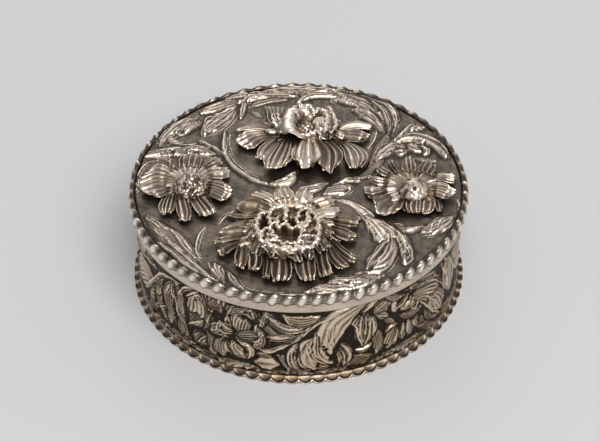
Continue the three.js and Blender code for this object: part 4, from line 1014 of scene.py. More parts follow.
def tracedPetal(bm, p, centre, seed):
    # one fluted petal stretched between two edges that run from its root, under the boss, to its tip
    layer = bm.verts.layers.float["hollow"]
    made = bmesh.ops.create_grid(bm, x_segments=p.get("across", 32), y_segments=24, size=1)["verts"]
    u = np.array([(v.co.x + 1) / 2 for v in made])
    b = np.array([(v.co.y + 1) / 2 for v in made])
    rng = np.random.default_rng(seed)
    reach = p.get("reach", 0.5)
    sides = []
    for side in ("one", "two"):
        root = np.array(p[side][0])
        line = smoothLine(([tuple(root + reach * (np.array(centre) - root))] if reach else []) + p[side])
        share = np.linspace(0, 1, len(line))
        sides.append(np.stack([np.interp(b, share, line[:, 0]), np.interp(b, share, line[:, 1])], 1))
    flat = sides[0] * (1 - u)[:, None] + sides[1] * u[:, None]
    outward = (np.array(p["one"][-1]) + p["two"][-1]) / 2 - (np.array(p["one"][0]) + p["two"][0]) / 2
    outward = outward / np.hypot(*outward)
    flutes = p["flutes"]
    knots = np.concatenate([[0], np.cumsum(rng.uniform(0.6, 1.4, flutes))])
    phase = np.interp(u, knots / knots[-1], np.arange(flutes + 1))
    phase = phase + 0.12 * np.sin(4 * b + seed) * 4 * u * (1 - u)
    strength = np.interp(phase, np.arange(flutes + 1), rng.uniform(0.55, 1.0, flutes + 1))
    wave = (0.5 + 0.5 * np.cos(2 * math.pi * phase)) ** (0.8 * p.get("sharp", 1.0)) * strength
    fine = 0.5 + 0.5 * np.cos(6 * math.pi * phase + 3 * b)
    ragged = smoothSteps(rng.uniform(0.2, 1, 9), u)
    tip = np.clip((b - 0.6) / 0.4, 0, 1) ** 2
    wave = wave * (1 - 0.3 * tip) + 0.3 * tip * (0.5 + 0.5 * np.cos(4 * math.pi * phase + seed))
    stretch = p.get("bulge", 0.8) * 4 * u * (1 - u) * b ** 2 - p.get("notch",
                                                                     1.0) * (1 - wave) * ragged * tip
    flat = flat + outward[None, :] * stretch[:, None]
    middle = (sides[0] + sides[1]) / 2
    flat = flat + (middle - flat) * (p.get("pinch", 0.35) * tip * np.abs(2 * u - 1) ** 2)[:, None]
    fade = np.clip(b * 2.2, 0, 1)
    lip = np.clip((b - 0.84) / 0.16, 0, 1)
    rise = [p["rise"][0] * 0.7, *p["rise"]] if reach else p["rise"]
    stand = smoothSteps(rise, b)
    z = stand + p.get("crown", 0.6) * 4 * (u * (1 - u) - 0.15) * fade + (0.12 + 0.15 * ragged) * lip
    z = z + (p.get("ridge", 0.9) * (wave - 0.4) + 0.05 * fine * b * (1 - lip)) * fade
    z = z + 0.15 * smoothSteps(rng.uniform(-1, 1, 7), u) * fade
    # darker towards the root and in the flutes' valleys; the upturned rim of the tip is painted lighter, a
    # painted highlight
    dark = p.get("root", 0.75) * (1 - b) ** 1.3 + p.get("groove", 0.85) * (1 - wave) * (1 - 0.3 * tip) - 0.08
    dark = dark + p.get("shade", 0.0) * (1 - 0.5 * lip) + 0.1 * (1 - fine) * b - 0.3 * lip
    for k, v in enumerate(made):
        x, y, _ = standAt(flat[k, 0], flat[k, 1], stand[k])
        v.co = (x, y, groundLevel + max(z[k], 0.3))
        v[layer] = min(max(dark[k], 0), 1)
    faces = {f for v in made for f in v.link_faces}
    bmesh.ops.recalc_face_normals(bm, faces=list(faces))
    if sum(f.normal.z for f in faces) < 0:
        bmesh.ops.reverse_faces(bm, faces=list(faces))


def skirtPetals(centre, side, front, back, count):
    # low petals under the others, so that the ground doesn't show between them
    found = []
    for k in range(count):
        edges = []
        for step in (k - 0.05, k + 1.05):
            angle = 2 * math.pi * step / count
            deep = back if math.sin(angle) > 0 else front
            edges.append([(centre[0] + side * part * math.cos(angle),
                           centre[1] + deep * part * math.sin(angle)) for part in (0.4, 0.6, 0.8, 1.0)])
        found.append(dict(one=edges[1], two=edges[0], rise=[0.9, 1.0, 0.9, 0.4], reach=0, flutes=3,
                          ridge=0.4,
                          notch=0.5, shade=0.1, root=0.5, groove=0.45))
    return found


def makePetals(name, centre, petals, replaced, material, skirt):
    bm = bmesh.new()
    bm.verts.layers.float.new("hollow")
    for k, p in enumerate(petals + skirtPetals(centre, *skirt)):
        tracedPetal(bm, p, centre, k + 3)
    return finishMesh(bm, name, "lid", replaced, material, thickness=0.4)


flat = [0.6, 1.3, 1.5, 1.0]
raised = [0.8, 1.9, 2.1, 1.2]
leftPetals = [
    dict(one=[(-32.6, 8), (-34.2, 9.6), (-36, 10.4), (-37.4, 10.2)],
         two=[(-33, 4.6), (-34.4, 6.6), (-35.8, 8), (-37.6, 8.4)],
         rise=[0.8, 2.0, 2.2, 1.6], flutes=2, sharp=1.5, notch=0.2, bulge=0.4),
    dict(one=[(-26.4, 5.6), (-26, 7.4), (-25.6, 9), (-25, 10.6)],
         two=[(-31.4, 5.6), (-31.6, 8), (-31.8, 9.6), (-32.2, 11.2)],
         rise=flat, flutes=4, sharp=1.4, notch=0.9, shade=0.15),
    dict(one=[(-25, 4.6), (-23.2, 6), (-21.6, 7), (-19.8, 7.6)],
         two=[(-26.2, 5.6), (-25.2, 7.6), (-24.4, 9), (-23.4, 10.2)],
         rise=flat, flutes=3, notch=0.9, shade=0.1),
    dict(one=[(-24.2, 1.2), (-22, 1.2), (-20, 1), (-18.4, 1.4)],
         two=[(-25, 4.4), (-23, 5.6), (-21, 6), (-19, 5.8)],
         rise=raised, flutes=2, sharp=0.8, notch=0.5, bulge=0.7, root=0.4),
    dict(one=[(-24.4, 0.8), (-22, 1), (-20, 0.6), (-18.4, -0.2)],
         two=[(-24.4, -4.8), (-22.8, -5.6), (-20.6, -7.4), (-19, -8.8)],
         rise=raised, flutes=6, sharp=1.3, bulge=1.9, shade=0.12),
    dict(one=[(-31.8, -6), (-31.8, -9), (-31.4, -12), (-31, -15)],
         two=[(-29, -5.8), (-28.2, -9), (-27.4, -12), (-27.6, -15.2)],
         rise=raised, flutes=3, sharp=0.8, bulge=1.4, notch=0.7, crown=1.0),
    dict(one=[(-34.4, -4.8), (-35.6, -7.4), (-36.2, -10.4), (-35.6, -12.8)],
         two=[(-31.4, -5.6), (-31.8, -8.4), (-31.8, -11), (-32.4, -13)],
         rise=raised, flutes=4, sharp=1.1, bulge=0.9, notch=1.2),
    dict(one=[(-28.8, -6), (-27.6, -9), (-26.6, -11.6), (-26, -14)],
         two=[(-25.4, -5.4), (-23.4, -8), (-21.6, -10), (-20.6, -12)],
         rise=raised, flutes=4, sharp=1.1, bulge=1.6, notch=1.2),
    dict(one=[(-33.4, 4.6), (-35.6, 7), (-37.8, 7), (-39.8, 5)],
         two=[(-33.2, -3.6), (-34.6, -5.4), (-36, -6.4), (-37.6, -7.2)],
         rise=[0.8, 1.6, 2.4, 1.8], flutes=8, sharp=0.9, bulge=3.2, notch=0.5, crown=0.3, across=40,
         root=0.9),
]
rightPetals = [
    dict(one=[(25.4, 2.8), (24.4, 4.6), (23.6, 6), (23.2, 7.4)],
         two=[(27.8, 3.2), (27, 5), (26.6, 7), (26.8, 8.4)],
         rise=flat, flutes=3, sharp=1.5, shade=0.3),
    dict(one=[(28.4, 3.2), (27.6, 5), (27.4, 7), (27.4, 8.8)],
         two=[(30.8, 3), (31, 5), (31.2, 7), (31.4, 9.2)],
         rise=raised, flutes=3, sharp=1.0, bulge=0.9, notch=0.6),
    dict(one=[(31.4, 3), (31.6, 5), (32, 7), (33, 8.8)], two=[(34, 1.4), (35, 3.4), (36.2, 5), (36.6, 6.8)],
         rise=raised, flutes=3, sharp=1.4, bulge=1.0, shade=0.15),
    dict(one=[(34.6, 0.6), (36.4, 0.6), (38.6, 0), (40.8, -1.6)],
         two=[(35.2, 2), (36.6, 3.4), (38, 4.2), (39.6, 4.2)],
         rise=flat, flutes=5, sharp=1.2, bulge=1.3, shade=0.15),
    dict(one=[(24.4, 1.8), (22.8, 2.5), (21.4, 3.3), (20.4, 4.6)],
         two=[(25, 3.4), (24.2, 4.6), (23.2, 5.8), (22.2, 6.6)],
         rise=raised, flutes=3, sharp=1.0, bulge=0.7),
    dict(one=[(24, -1), (21.6, -1.4), (19.2, -1.6), (17.4, -1.2)],
         two=[(24, -4.8), (21.6, -5.8), (19.8, -6.6), (18.2, -6.9)],
         rise=flat, flutes=3, sharp=1.6, bulge=0.9, shade=0.3),
    dict(one=[(24.2, 0.9), (22.2, 1.4), (20.4, 2.2), (18.6, 2.6)],
         two=[(23.8, -1.2), (22, -1.5), (20.4, -1.2), (18.9, 0)],
         rise=[1.0, 2.2, 2.4, 1.6], flutes=3, sharp=0.9, bulge=0.5, root=0.4),
    dict(one=[(35.2, -5.4), (35.2, -8), (35.2, -10.4), (35.8, -12.8)],
         two=[(36.2, -6.4), (36.8, -8.4), (37.2, -10), (36.8, -12)],
         rise=flat, flutes=2, sharp=1.2, bulge=0.3),
    dict(one=[(27, -7.4), (26.8, -9.4), (26.8, -11), (27.4, -12.8)],
         two=[(35.2, -6.4), (35.2, -8.6), (34.8, -11), (34, -13)],
         rise=raised, flutes=7, sharp=1.0, bulge=0.9, notch=1.6, across=40),
    dict(one=[(24.2, -5.2), (21.6, -6.2), (19.4, -7), (18.8, -9)],
         two=[(27.6, -7.8), (26.8, -10), (26.4, -11.6), (26.2, -13)],
         rise=[0.8, 1.8, 2.2, 1.8], flutes=3, sharp=1.6, bulge=2.6, notch=0.7, crown=-0.6, shade=0.2),
    dict(one=[(34.6, -1.6), (36.6, -0.6), (38.8, -1), (40.8, -3)],
         two=[(34.8, -5), (36, -5.4), (37.2, -6.2), (38.6, -7)],
         rise=[1.0, 2.4, 2.8, 1.8], flutes=5, sharp=0.9, bulge=1.2, notch=0.8, root=0.3),
]
frontPetals = [
    dict(one=[(-7.6, -9.6), (-9.6, -8), (-11.6, -7), (-13.2, -6.8)],
         two=[(-4.6, -8.8), (-6, -6.4), (-7.4, -4.6), (-8.8, -3.6)],
         rise=flat, flutes=3, groove=0.35, root=0.15, shade=-0.1),
    dict(one=[(-5, -8.8), (-6.2, -6.4), (-6.6, -4.6), (-6.4, -3)],
         two=[(-1, -8.6), (-1, -6), (-1.4, -4), (-1.8, -2.4)],
         rise=raised, flutes=3, groove=0.4, root=0.15, shade=-0.1),
    dict(one=[(-1.6, -8.8), (-1, -6.4), (-0.6, -4.4), (-0.4, -3)],
         two=[(2.4, -9.8), (3.4, -7.6), (4, -6), (4.2, -4.8)],
         rise=flat, flutes=2, groove=0.35, root=0.15, shade=-0.05),
    dict(one=[(1.6, -9.6), (3, -7.4), (4.6, -6), (6.4, -5.2)],
         two=[(4.4, -12), (6.4, -10.4), (8.4, -9.8), (10.2, -9.8)],
         rise=raised, flutes=3, groove=0.4, root=0.3, ridge=0.4, shade=0.15),
    dict(one=[(4, -11), (6, -9.8), (8, -9.4), (10, -9.8)],
         two=[(5.2, -14.2), (7.4, -14.4), (9.4, -14.2), (10.8, -13.4)],
         rise=[1.2, 1.4, 1.4, 0.8], flutes=3, groove=0.4, root=0.3, ridge=0.3, bulge=0.4, shade=0.15),
    dict(one=[(-8, -9.4), (-10, -6.6), (-12.6, -6), (-14.8, -8.4)],
         two=[(-10, -12.4), (-12, -13), (-14, -13), (-15.9, -11.6)],
         rise=[1.2, 1.8, 1.8, 1.0], flutes=2, sharp=2.4, bulge=0.6, shade=0.3, notch=0.4),
    dict(one=[(-10.6, -12.6), (-13.6, -12.8), (-16, -12.8), (-18.4, -12.4)],
         two=[(-11, -14.6), (-13.6, -14.8), (-16, -14.6), (-18.2, -14.2)],
         rise=[1.4, 1.6, 1.4, 0.9], flutes=1, sharp=2.0, bulge=0.1, notch=0.2, shade=0.1),
    dict(one=[(-11, -15), (-14.4, -15.8), (-17.4, -17.2), (-19.6, -19.2)],
         two=[(-12.2, -20), (-14.6, -21), (-17, -21.6), (-20, -21.6)],
         rise=flat, flutes=2, sharp=2.0, shade=0.6, groove=0.3),
    dict(one=[(-14.4, -20), (-17.4, -21.2), (-19.4, -22), (-21, -22.9)],
         two=[(-14, -23), (-17, -23.8), (-19, -24.4), (-21.1, -24.9)],
         rise=raised, flutes=1, sharp=0.7, ridge=1.2, groove=1.2, bulge=0.3, notch=0.2, shade=0.1),
    dict(one=[(-14, -23), (-17.8, -24.2), (-19.4, -25.4), (-20.8, -27)],
         two=[(-14, -25), (-16.2, -26.6), (-17.4, -28.2), (-18.4, -29.6)],
         rise=raised, flutes=2, sharp=0.7, ridge=1.2, groove=1.2, notch=1.1, shade=0.15),
    dict(one=[(-14.6, -25), (-15.6, -27.6), (-16, -29.8), (-16.2, -31.8)],
         two=[(-12.2, -25.6), (-12.4, -29), (-12.8, -32), (-13.4, -34.4)],
         rise=raised, flutes=2, sharp=0.7, ridge=1.2, groove=1.2, bulge=0.9, notch=1.4),
    dict(one=[(-12.4, -26.6), (-12.4, -30), (-12.6, -32.4), (-12.8, -34.4)],
         two=[(-8.8, -27), (-9, -31), (-9.4, -33.4), (-10.4, -35)],
         rise=raised, flutes=2, sharp=0.7, ridge=1.2, groove=1.2, bulge=0.6, notch=1.4),
    dict(one=[(-8.8, -28), (-8.8, -32), (-9, -35), (-8.8, -37.2)],
         two=[(-6.4, -28.6), (-6.8, -32.6), (-7, -35.6), (-7.2, -38.2)],
         rise=raised, flutes=2, sharp=0.7, ridge=1.2, groove=1.2, bulge=0.4, shade=0.15),
    dict(one=[(-6.8, -28.8), (-6.8, -32.6), (-6.9, -36), (-6.8, -38.6)],
         two=[(-2.4, -28.8), (-1.8, -32.6), (-1.6, -36), (-2, -38.8)],
         rise=raised, flutes=3, sharp=0.7, ridge=1.2, groove=1.2, bulge=0.5, notch=1.6),
    dict(one=[(-1.6, -29), (-1.1, -32.6), (-0.4, -36), (0.4, -38.4)],
         two=[(3.6, -28), (4.2, -32.4), (4.4, -35), (4.4, -38)],
         rise=raised, flutes=3, sharp=0.7, ridge=1.2, groove=1.2, bulge=0.7, notch=1.3),
    dict(one=[(3.8, -27.6), (4.6, -31.6), (4.8, -34.6), (5, -37.4)],
         two=[(6.6, -26.6), (7.4, -31), (8.2, -33.4), (8.8, -35.6)],
         rise=raised, flutes=2, sharp=0.7, ridge=1.2, groove=1.2, bulge=0.8, notch=1.2),
    dict(one=[(6.2, -25.6), (7.4, -30), (8.6, -32.4), (9.8, -34.4)],
         two=[(8, -25), (10.4, -29), (12, -31.4), (13.2, -33)],
         rise=raised, flutes=2, sharp=0.7, ridge=1.2, groove=1.2, bulge=0.8, notch=1.4),
    dict(one=[(7.6, -24.4), (10.2, -28.4), (12.2, -30.8), (13.8, -32.6)],
         two=[(8, -22), (11, -25.6), (12.8, -27.6), (14.2, -28.8)],
         rise=raised, flutes=2, sharp=0.7, ridge=1.2, groove=1.2, bulge=0.6, notch=0.8),
    dict(one=[(7.6, -20.6), (10, -22.6), (12, -23.8), (13.8, -24.2)],
         two=[(7.8, -17.6), (10.4, -18.2), (12.8, -19.4), (14.8, -20.6)],
         rise=raised, flutes=2, sharp=0.7, ridge=1.2, groove=1.2, bulge=0.5, shade=0.1),
    dict(one=[(7.6, -16.8), (10.4, -17.4), (12.8, -18), (15, -18.6)],
         two=[(7.6, -15), (10.6, -14.9), (13, -15), (15, -15.8)],
         rise=raised, flutes=2, sharp=0.7, ridge=1.2, groove=1.2, bulge=0.4, shade=0.1),
    dict(one=[(8.4, -9), (11, -8.6), (14, -10.6), (16.2, -14)],
         two=[(8.4, -14.2), (10.6, -14.6), (13, -15), (15.4, -16.2)],
         rise=[0.6, 0.7, 0.8, 0.6], flutes=2, sharp=2.0, bulge=0.2, notch=0.2, ridge=0.2, shade=0.65,
         crown=-0.2),
    # flaps of the frill that hang outward
    dict(one=[(-10.6, -16), (-12, -17), (-13, -18.6), (-13.6, -20.6)],
         two=[(-9.6, -20), (-10.6, -21.6), (-11.4, -23), (-12, -24.4)],
         rise=[2.8, 2.8, 2.3, 1.4], reach=0, flutes=2, sharp=1.2, bulge=0.9, notch=1.4, shade=0.2),
    dict(one=[(-9.4, -21), (-11, -23.4), (-12, -25.6), (-12.6, -27.4)],
         two=[(-7, -24), (-8, -26), (-8.4, -27.6), (-8.8, -29)],
         rise=[3.0, 2.8, 2.3, 1.6], reach=0, flutes=2, sharp=1.4, bulge=0.8, notch=1.4, shade=0.3),
    dict(one=[(-7, -24), (-7.6, -26), (-8, -27.6), (-8, -29.4)],
         two=[(-3, -25), (-3.8, -27), (-4.4, -28.6), (-5.2, -30.4)],
         rise=[3.2, 3.0, 2.5, 1.8], reach=0, flutes=2, sharp=1.4, bulge=0.8, notch=1.6, shade=0.3),
    dict(one=[(-3.2, -25), (-3.2, -27), (-2.8, -29), (-1.4, -31)],
         two=[(-1.4, -25), (0, -27), (0.8, -29.4), (1.2, -31.8)],
         rise=[3.4, 3.2, 2.9, 2.1], reach=0, flutes=2, sharp=1.2, bulge=0.3, notch=0.9, shade=0.15),
    dict(one=[(0.8, -24.6), (1, -26.4), (1.2, -28.2), (2, -30.4)],
         two=[(3.2, -24), (3.6, -26), (4, -28), (3.4, -30.6)],
         rise=[3.4, 3.2, 2.7, 2.0], reach=0, flutes=2, sharp=1.6, bulge=0.4, notch=1.2, shade=0.15),
    dict(one=[(3.4, -23.6), (4, -25.4), (4.6, -27), (5.2, -28.6)],
         two=[(5, -20), (6.4, -21.6), (7.4, -23.4), (8, -25)],
         rise=[3.2, 2.9, 2.4, 1.6], reach=0, flutes=2, sharp=1.6, bulge=0.6, notch=1.3, shade=0.35),
    dict(one=[(5, -20.6), (6.4, -21.2), (7.4, -22), (8, -23)],
         two=[(5.2, -15.6), (6.6, -16.4), (7.6, -17.6), (8, -19.4)],
         rise=[3.0, 2.8, 2.4, 1.6], reach=0, flutes=2, sharp=1.6, bulge=0.4, notch=1.0, shade=0.4),
]
backPetals = [
    dict(one=[(9.8, 20.4), (13.2, 21.8), (16.4, 22.2), (19.6, 21.6)],
         two=[(9.8, 23), (13.6, 25.8), (16.8, 26.6), (19.2, 25.4)],
         rise=flat, flutes=2, sharp=0.8, bulge=0.7, notch=0.5, shade=0.2, groove=0.3),
    dict(one=[(9.4, 17.6), (13.2, 17), (16, 16.8), (18.2, 17.2)],
         two=[(9.6, 20.8), (13.6, 22.4), (17, 21.8), (19.6, 20.6)],
         rise=raised, flutes=3, sharp=1.8, bulge=0.6, shade=0.25),
    dict(one=[(-6.4, 21.4), (-10.8, 22.2), (-14, 21.8), (-17, 20.8)],
         two=[(-6.4, 23), (-10.4, 24.6), (-13, 24.4), (-15.6, 23)],
         rise=flat, flutes=1, sharp=1.0, bulge=0.6, notch=0.3, shade=0.3, groove=0.3),
    dict(one=[(-6.4, 21.2), (-11.2, 21.8), (-14.4, 21.4), (-16.6, 20)],
         two=[(-5.4, 18.8), (-9.2, 17.4), (-11, 15), (-12.4, 12.8)],
         rise=raised, flutes=4, sharp=1.4, bulge=2.2, notch=0.8, shade=0.15),
    dict(one=[(-4.6, 20), (-8.6, 17), (-11, 13.4), (-11.6, 10)],
         two=[(-3.4, 18.4), (-6.4, 15), (-8, 12), (-9, 9)],
         rise=raised, flutes=2, sharp=0.7, bulge=0.7, notch=0.9, shade=0.25, groove=0.3),
    dict(one=[(10, 17), (12, 13.4), (12.4, 9), (13.4, 5.6)],
         two=[(11.8, 18), (16.4, 15.2), (18.8, 11), (17, 6.2)],
         rise=[1.0, 2.2, 2.8, 2.2], flutes=4, sharp=1.0, bulge=0.9, notch=1.4, crown=0.7, pinch=0.2,
         groove=0.7),
    dict(one=[(5, 16), (5.4, 11.4), (5, 8), (5.6, 5.8)],
         two=[(8, 18), (11.4, 13.4), (11.8, 9.4), (10.2, 6.2)],
         rise=[1.4, 2.8, 3.4, 2.4], flutes=3, sharp=0.8, bulge=3.2, notch=0.8, shade=0.35, crown=1.1,
         ridge=1.1, pinch=0.35),
    dict(one=[(-4.4, 18.6), (-7.6, 13.8), (-9.6, 9.8), (-10, 6.4)],
         two=[(-1.2, 19), (-0.8, 14.6), (-1, 11), (-2.2, 7.4)],
         rise=[1.4, 3.0, 3.6, 2.6], flutes=5, sharp=0.9, bulge=3.0, notch=1.2, crown=1.1, groove=0.7,
         ridge=1.2, pinch=0.3),
    dict(one=[(0.2, 19), (-1.8, 14.6), (-2.2, 11), (-1.4, 7.6)],
         two=[(4.4, 18.8), (5.8, 14.4), (6.4, 11), (5.6, 7.6)],
         rise=[1.6, 3.4, 3.8, 2.4], flutes=3, sharp=0.9, bulge=3.2, notch=0.7, crown=1.4, groove=0.5,
         root=0.3,
         ridge=0.9, pinch=0.4),
    # folded wraps beside the cup
    dict(one=[(7.4, 31), (7.4, 27), (7.6, 22), (8, 17.6)],
         two=[(8.6, 33), (10.2, 28), (10.2, 23.6), (8.8, 19)],
         rise=[3.0, 3.6, 3.2, 2.0], reach=0, flutes=2, sharp=1.0, bulge=0.2, notch=0.3, root=0.1),
    dict(one=[(4.8, 27.6), (4.6, 24.6), (4.8, 21.6), (5.6, 18.4)],
         two=[(7.8, 28.6), (7.6, 25), (7.8, 21.6), (8, 17.6)],
         rise=[3.6, 3.8, 3.2, 2.2], reach=0, flutes=1, sharp=1.0, bulge=0.2, notch=0.2, root=0.1,
         groove=0.45),
    dict(one=[(-9.4, 33), (-8.6, 30), (-8.4, 27), (-7.2, 24.6)],
         two=[(-4, 32.6), (-4.4, 29), (-4, 26), (-3, 22)],
         rise=[1.4, 2.2, 2.4, 1.8], reach=0, flutes=4, sharp=1.2, bulge=0.2, notch=0.5, root=0.1,
         shade=0.15),
    dict(one=[(9.4, 20), (10.6, 19), (11.6, 18.2), (13.2, 17.8)],
         two=[(9.8, 21.6), (11, 21.6), (12.2, 21), (13, 19.8)],
         rise=[2.4, 3.0, 2.8, 1.8], reach=0, flutes=2, sharp=0.8, bulge=0.3, notch=0.4, root=0.1),
    dict(one=[(-8.6, 20.8), (-7.8, 20.6), (-6.6, 20.4), (-5, 20.2)],
         two=[(-9.4, 22.4), (-8.2, 22.4), (-6.6, 21.8), (-5, 21.4)],
         rise=[2.2, 2.8, 2.6, 1.8], reach=0, flutes=1, sharp=0.7, bulge=0.1, notch=0.1, root=0.1,
         groove=0.3),
]

makePetals("flower_left_leafage", (-28.4, -0.6), leftPetals, ["flower_left_petals"], petalSilver,
           (8.4, 10.4, 7.6, 9))
makePetals("flower_right_leafage", (30.1, -2), rightPetals, ["flower_right_petals"], petalSilver,
           (8.6, 8.8, 7.6, 9))
makePetals("flower_front_leafage", (-2.6, -18.6), frontPetals, ["flower_front_petals"], giltPetalSilver,
           (14, 15.6, 11.6, 15))
makePetals("flower_back_leafage", (2, 22), backPetals, ["flower_back_petals"], petalSilver,
           (12.6, 11, 6, 11))


def seedBoss(name, s, replaced):
    # a dome set with grains, or with a few lumps, and marked with pits
    bm = bmesh.new()
    bmesh.ops.create_uvsphere(bm, u_segments=128, v_segments=96, radius=1)
    golden = math.pi * (3 - math.sqrt(5))
    k = np.arange(s["grains"])
    gz = 1 - (k + 0.5) / s["grains"]
    gr = np.sqrt(1 - gz ** 2)
    rng = np.random.default_rng(s["grains"])
    seeds = np.stack([gr * np.cos(k * golden), gr * np.sin(k * golden), gz], 1)
    seeds = seeds + rng.normal(0, s["stray"], seeds.shape)
    co = np.array([v.co[:] for v in bm.verts])
    gap = np.sqrt(((co[:, None, :] - seeds[None]) ** 2).sum(2)).min(1)
    grain = np.sqrt(np.clip(1 - (gap / s["spacing"]) ** 2, 0, 1))
    layer = bm.verts.layers.float.new("hollow")
    cx, cy = s["centre"]
    for i, v in enumerate(bm.verts):
        side = v.co.copy()
        grow = 1 + grain[i] * s["bump"] if side.z > 0 else 1
        pit = sum(math.exp(-((side.x - px) ** 2 + (side.y - py) ** 2) / size ** 2)
                  for px, py, size in s["pits"])
        v.co = (cx + side.x * s["across"] * grow * 0.94, cy + side.y * s["deep"] * grow * 0.94,
                groundLevel + s["base"] + max(side.z * grow, -0.1) * s["height"] - 0.5 * pit)
        v[layer] = min(s["shade"] + s["gap"] * (1 - grain[i]) + pit + 0.5 * (1 - max(side.z, 0)) ** 3, 1)
    bmesh.ops.recalc_face_normals(bm, faces=bm.faces)
    return finishMesh(bm, name, "lid", replaced, bossSilver)


bosses = {
    "flower_left_seedhead": dict(
        centre=(-28.2, -2.8), across=4.7, deep=5.0, height=4.5, base=0.4, grains=170, spacing=0.12,
        bump=0.07, stray=0.07, shade=0.0, gap=0.7, replaced="flower_left_boss",
        pits=[(0.1, -0.7, 0.16), (-0.3, -0.5, 0.12), (0.5, 0.0, 0.12), (0.4, -0.3, 0.1)]),
    "flower_right_seedhead": dict(
        centre=(30.1, -4.4), across=4.2, deep=4.8, height=4.1, base=0.4, grains=60, spacing=0.21,
        bump=0.05, stray=0.08, shade=0.05, gap=0.4, replaced="flower_right_boss",
        pits=[(-0.35, 0.35, 0.12), (-0.75, 0.0, 0.14), (0.0, -0.45, 0.1), (0.35, 0.25, 0.1),
              (-0.6, -0.5, 0.14), (0.1, 0.6, 0.08)]),
    "flower_back_grains": dict(
        centre=(1.9, 22.4), across=3.5, deep=3.3, height=3.0, base=0.8, grains=60, spacing=0.19,
        bump=0.07, stray=0.06, shade=0.3, gap=0.5, replaced="flower_back_seeds", pits=[(-0.5, 0.2, 0.4)]),
    "flower_front_grains": dict(
        centre=(-2.6, -21.9), across=5.4, deep=5.2, height=0.7, base=0.3, grains=70, spacing=0.16,
        bump=0.03, stray=0.08, shade=0.55, gap=0.2, replaced="flower_front_heart", pits=[]),
}
for name, s in bosses.items():
    seedBoss(name, s, [s["replaced"]])


# The frill of the front blossom and the cup of the back one are carved like the lid's face. A fold is
# (half-width, height of its crest, points) and reads on the same plane as the petals.

frontFrill = {
    "middle": (-2.6, -21.9), "across": 9.4, "deep": 9.4, "cells": 170, "floor": 2.7, "heart": 1.1,
    "spill": 0.9,
    "bodies": [(0.3, 0, [2.3, 2.9, 2.3], [1.2, 1.6, 1.2], [(-8.8, -14), (-8.4, -16.6), (-8.6, -19)])],
    "folds": [
        (0.42, 4.3, [(-7.8, -11), (-6.2, -9.8), (-3.6, -9.3), (-0.8, -9.4), (1.8, -10), (3.6, -11.8),
                     (4.6, -14),
                     (5.2, -16.6), (5.1, -19.6), (4.5, -22.4), (3.4, -24.2)]),
        (0.42, 4.2, [(-7.8, -11), (-9.6, -12.4), (-10.5, -15), (-10.5, -18), (-9.8, -20.6), (-8.9, -22.6)]),
        (0.5, 4.0, [(-8.9, -22.6), (-7.6, -23.6), (-6.6, -24.8), (-5.2, -25), (-4.2, -26), (-2.8, -25.2),
                    (-1.2, -26),
                    (0, -25), (1.6, -25.4), (3.4, -24.2)]),
        (0.36, 3.9, [(-7.5, -11.6), (-7.5, -14.2), (-6.8, -15.8), (-5.8, -16.1), (-5.2, -17.1),
                     (-4.4, -17.2),
                     (-3.5, -16), (-2.6, -17.3), (-1.5, -17.8), (0.2, -17.4), (1, -16.2), (1.8, -17),
                     (2.5, -16),
                     (3.1, -13.8), (3.6, -12)]),
        (0.34, 3.7, [(1, -16.4), (1.2, -17.8), (0.7, -18.8), (0.9, -20), (0.3, -21.4), (0.4, -22.6),
                     (1, -23.4),
                     (1.6, -25.2)]),
        (0.34, 3.7, [(-7.2, -15.2), (-7, -17), (-7.8, -18), (-8.9, -18.6), (-9.8, -20.2)]),
        (0.34, 3.6, [(-7.6, -18), (-6.6, -19), (-6.8, -20.4), (-5.6, -21.4), (-5.8, -22.6), (-4.6, -23.2),
                     (-3.6, -24.2), (-2.6, -23.4), (-1.4, -23.9), (-0.4, -23.4), (0.2, -22.6)]),
        (0.5, 4.2, [(-3.4, -9.6), (-3.2, -11.6), (-3.3, -13.4)]),
        (0.4, 4.1, [(0.6, -9.8), (0.4, -11.6), (-0.2, -13.6), (-0.4, -16)]),
        (0.4, 4.1, [(2.4, -10.6), (2.3, -12.6), (2.3, -14.4), (1.9, -16)]),
        (0.3, 3.9, [(-5.1, -13), (-5.3, -15), (-5.2, -16.6)]),
        (0.3, 3.8, [(-3.3, -13.4), (-3.4, -14.8), (-3.1, -16)]),
        (0.4, 3.8, [(1.2, -18), (2.8, -18.4), (4.4, -17.8), (5, -17.2)]),
        (0.3, 3.5, [(0.8, -20.6), (2.4, -21), (4.6, -20.8)]),
        (0.4, 3.7, [(-5.8, -22.4), (-7.2, -22.4), (-8.6, -22.8)]),
        (0.4, 3.7, [(-3.6, -24), (-4, -25), (-4.2, -26)]),
        (0.35, 3.6, [(-0.6, -23.8), (-0.8, -25), (-0.4, -26)]),
        (0.35, 3.6, [(-7.4, -20), (-8.6, -20.6), (-9.4, -21.4)]),
        (0.35, 3.5, [(-10.5, -17), (-12, -17.2), (-13.4, -18.2), (-13.8, -20)]),
        (0.3, 3.3, [(-10, -20), (-11.4, -20.8), (-12.6, -22.6)]),
        (0.35, 3.4, [(4.8, -21.6), (5.2, -24), (5, -26), (6, -27.8)]),
        (0.35, 3.5, [(1.4, -25.2), (1, -27), (1.8, -28.6), (3, -29.4)]),
        (0.45, 3.5, [(-3.4, -26), (-2, -27.6), (-0.8, -29.4), (0.2, -31)]),
        (0.35, 3.4, [(-8, -24), (-8.8, -25.6), (-8, -27), (-6.2, -28)]),
        (0.35, 3.4, [(-5.6, -25.4), (-5.8, -27.4), (-4.6, -29)]),
        (0.35, 3.4, [(3.6, -24.4), (3.6, -26.4), (4, -28)])],
    "holes": [(-6.1, -13.4, 0.8), (-4.2, -14.4, 0.6), (-1.9, -14.8, 0.7), (1.1, -14.2, 0.7),
              (3.2, -14.6, 0.5),
              (-8.6, -16.2, 0.9), (2.8, -20, 1.2), (-8.4, -21.4, 0.5), (3, -22.8, 0.6)]}

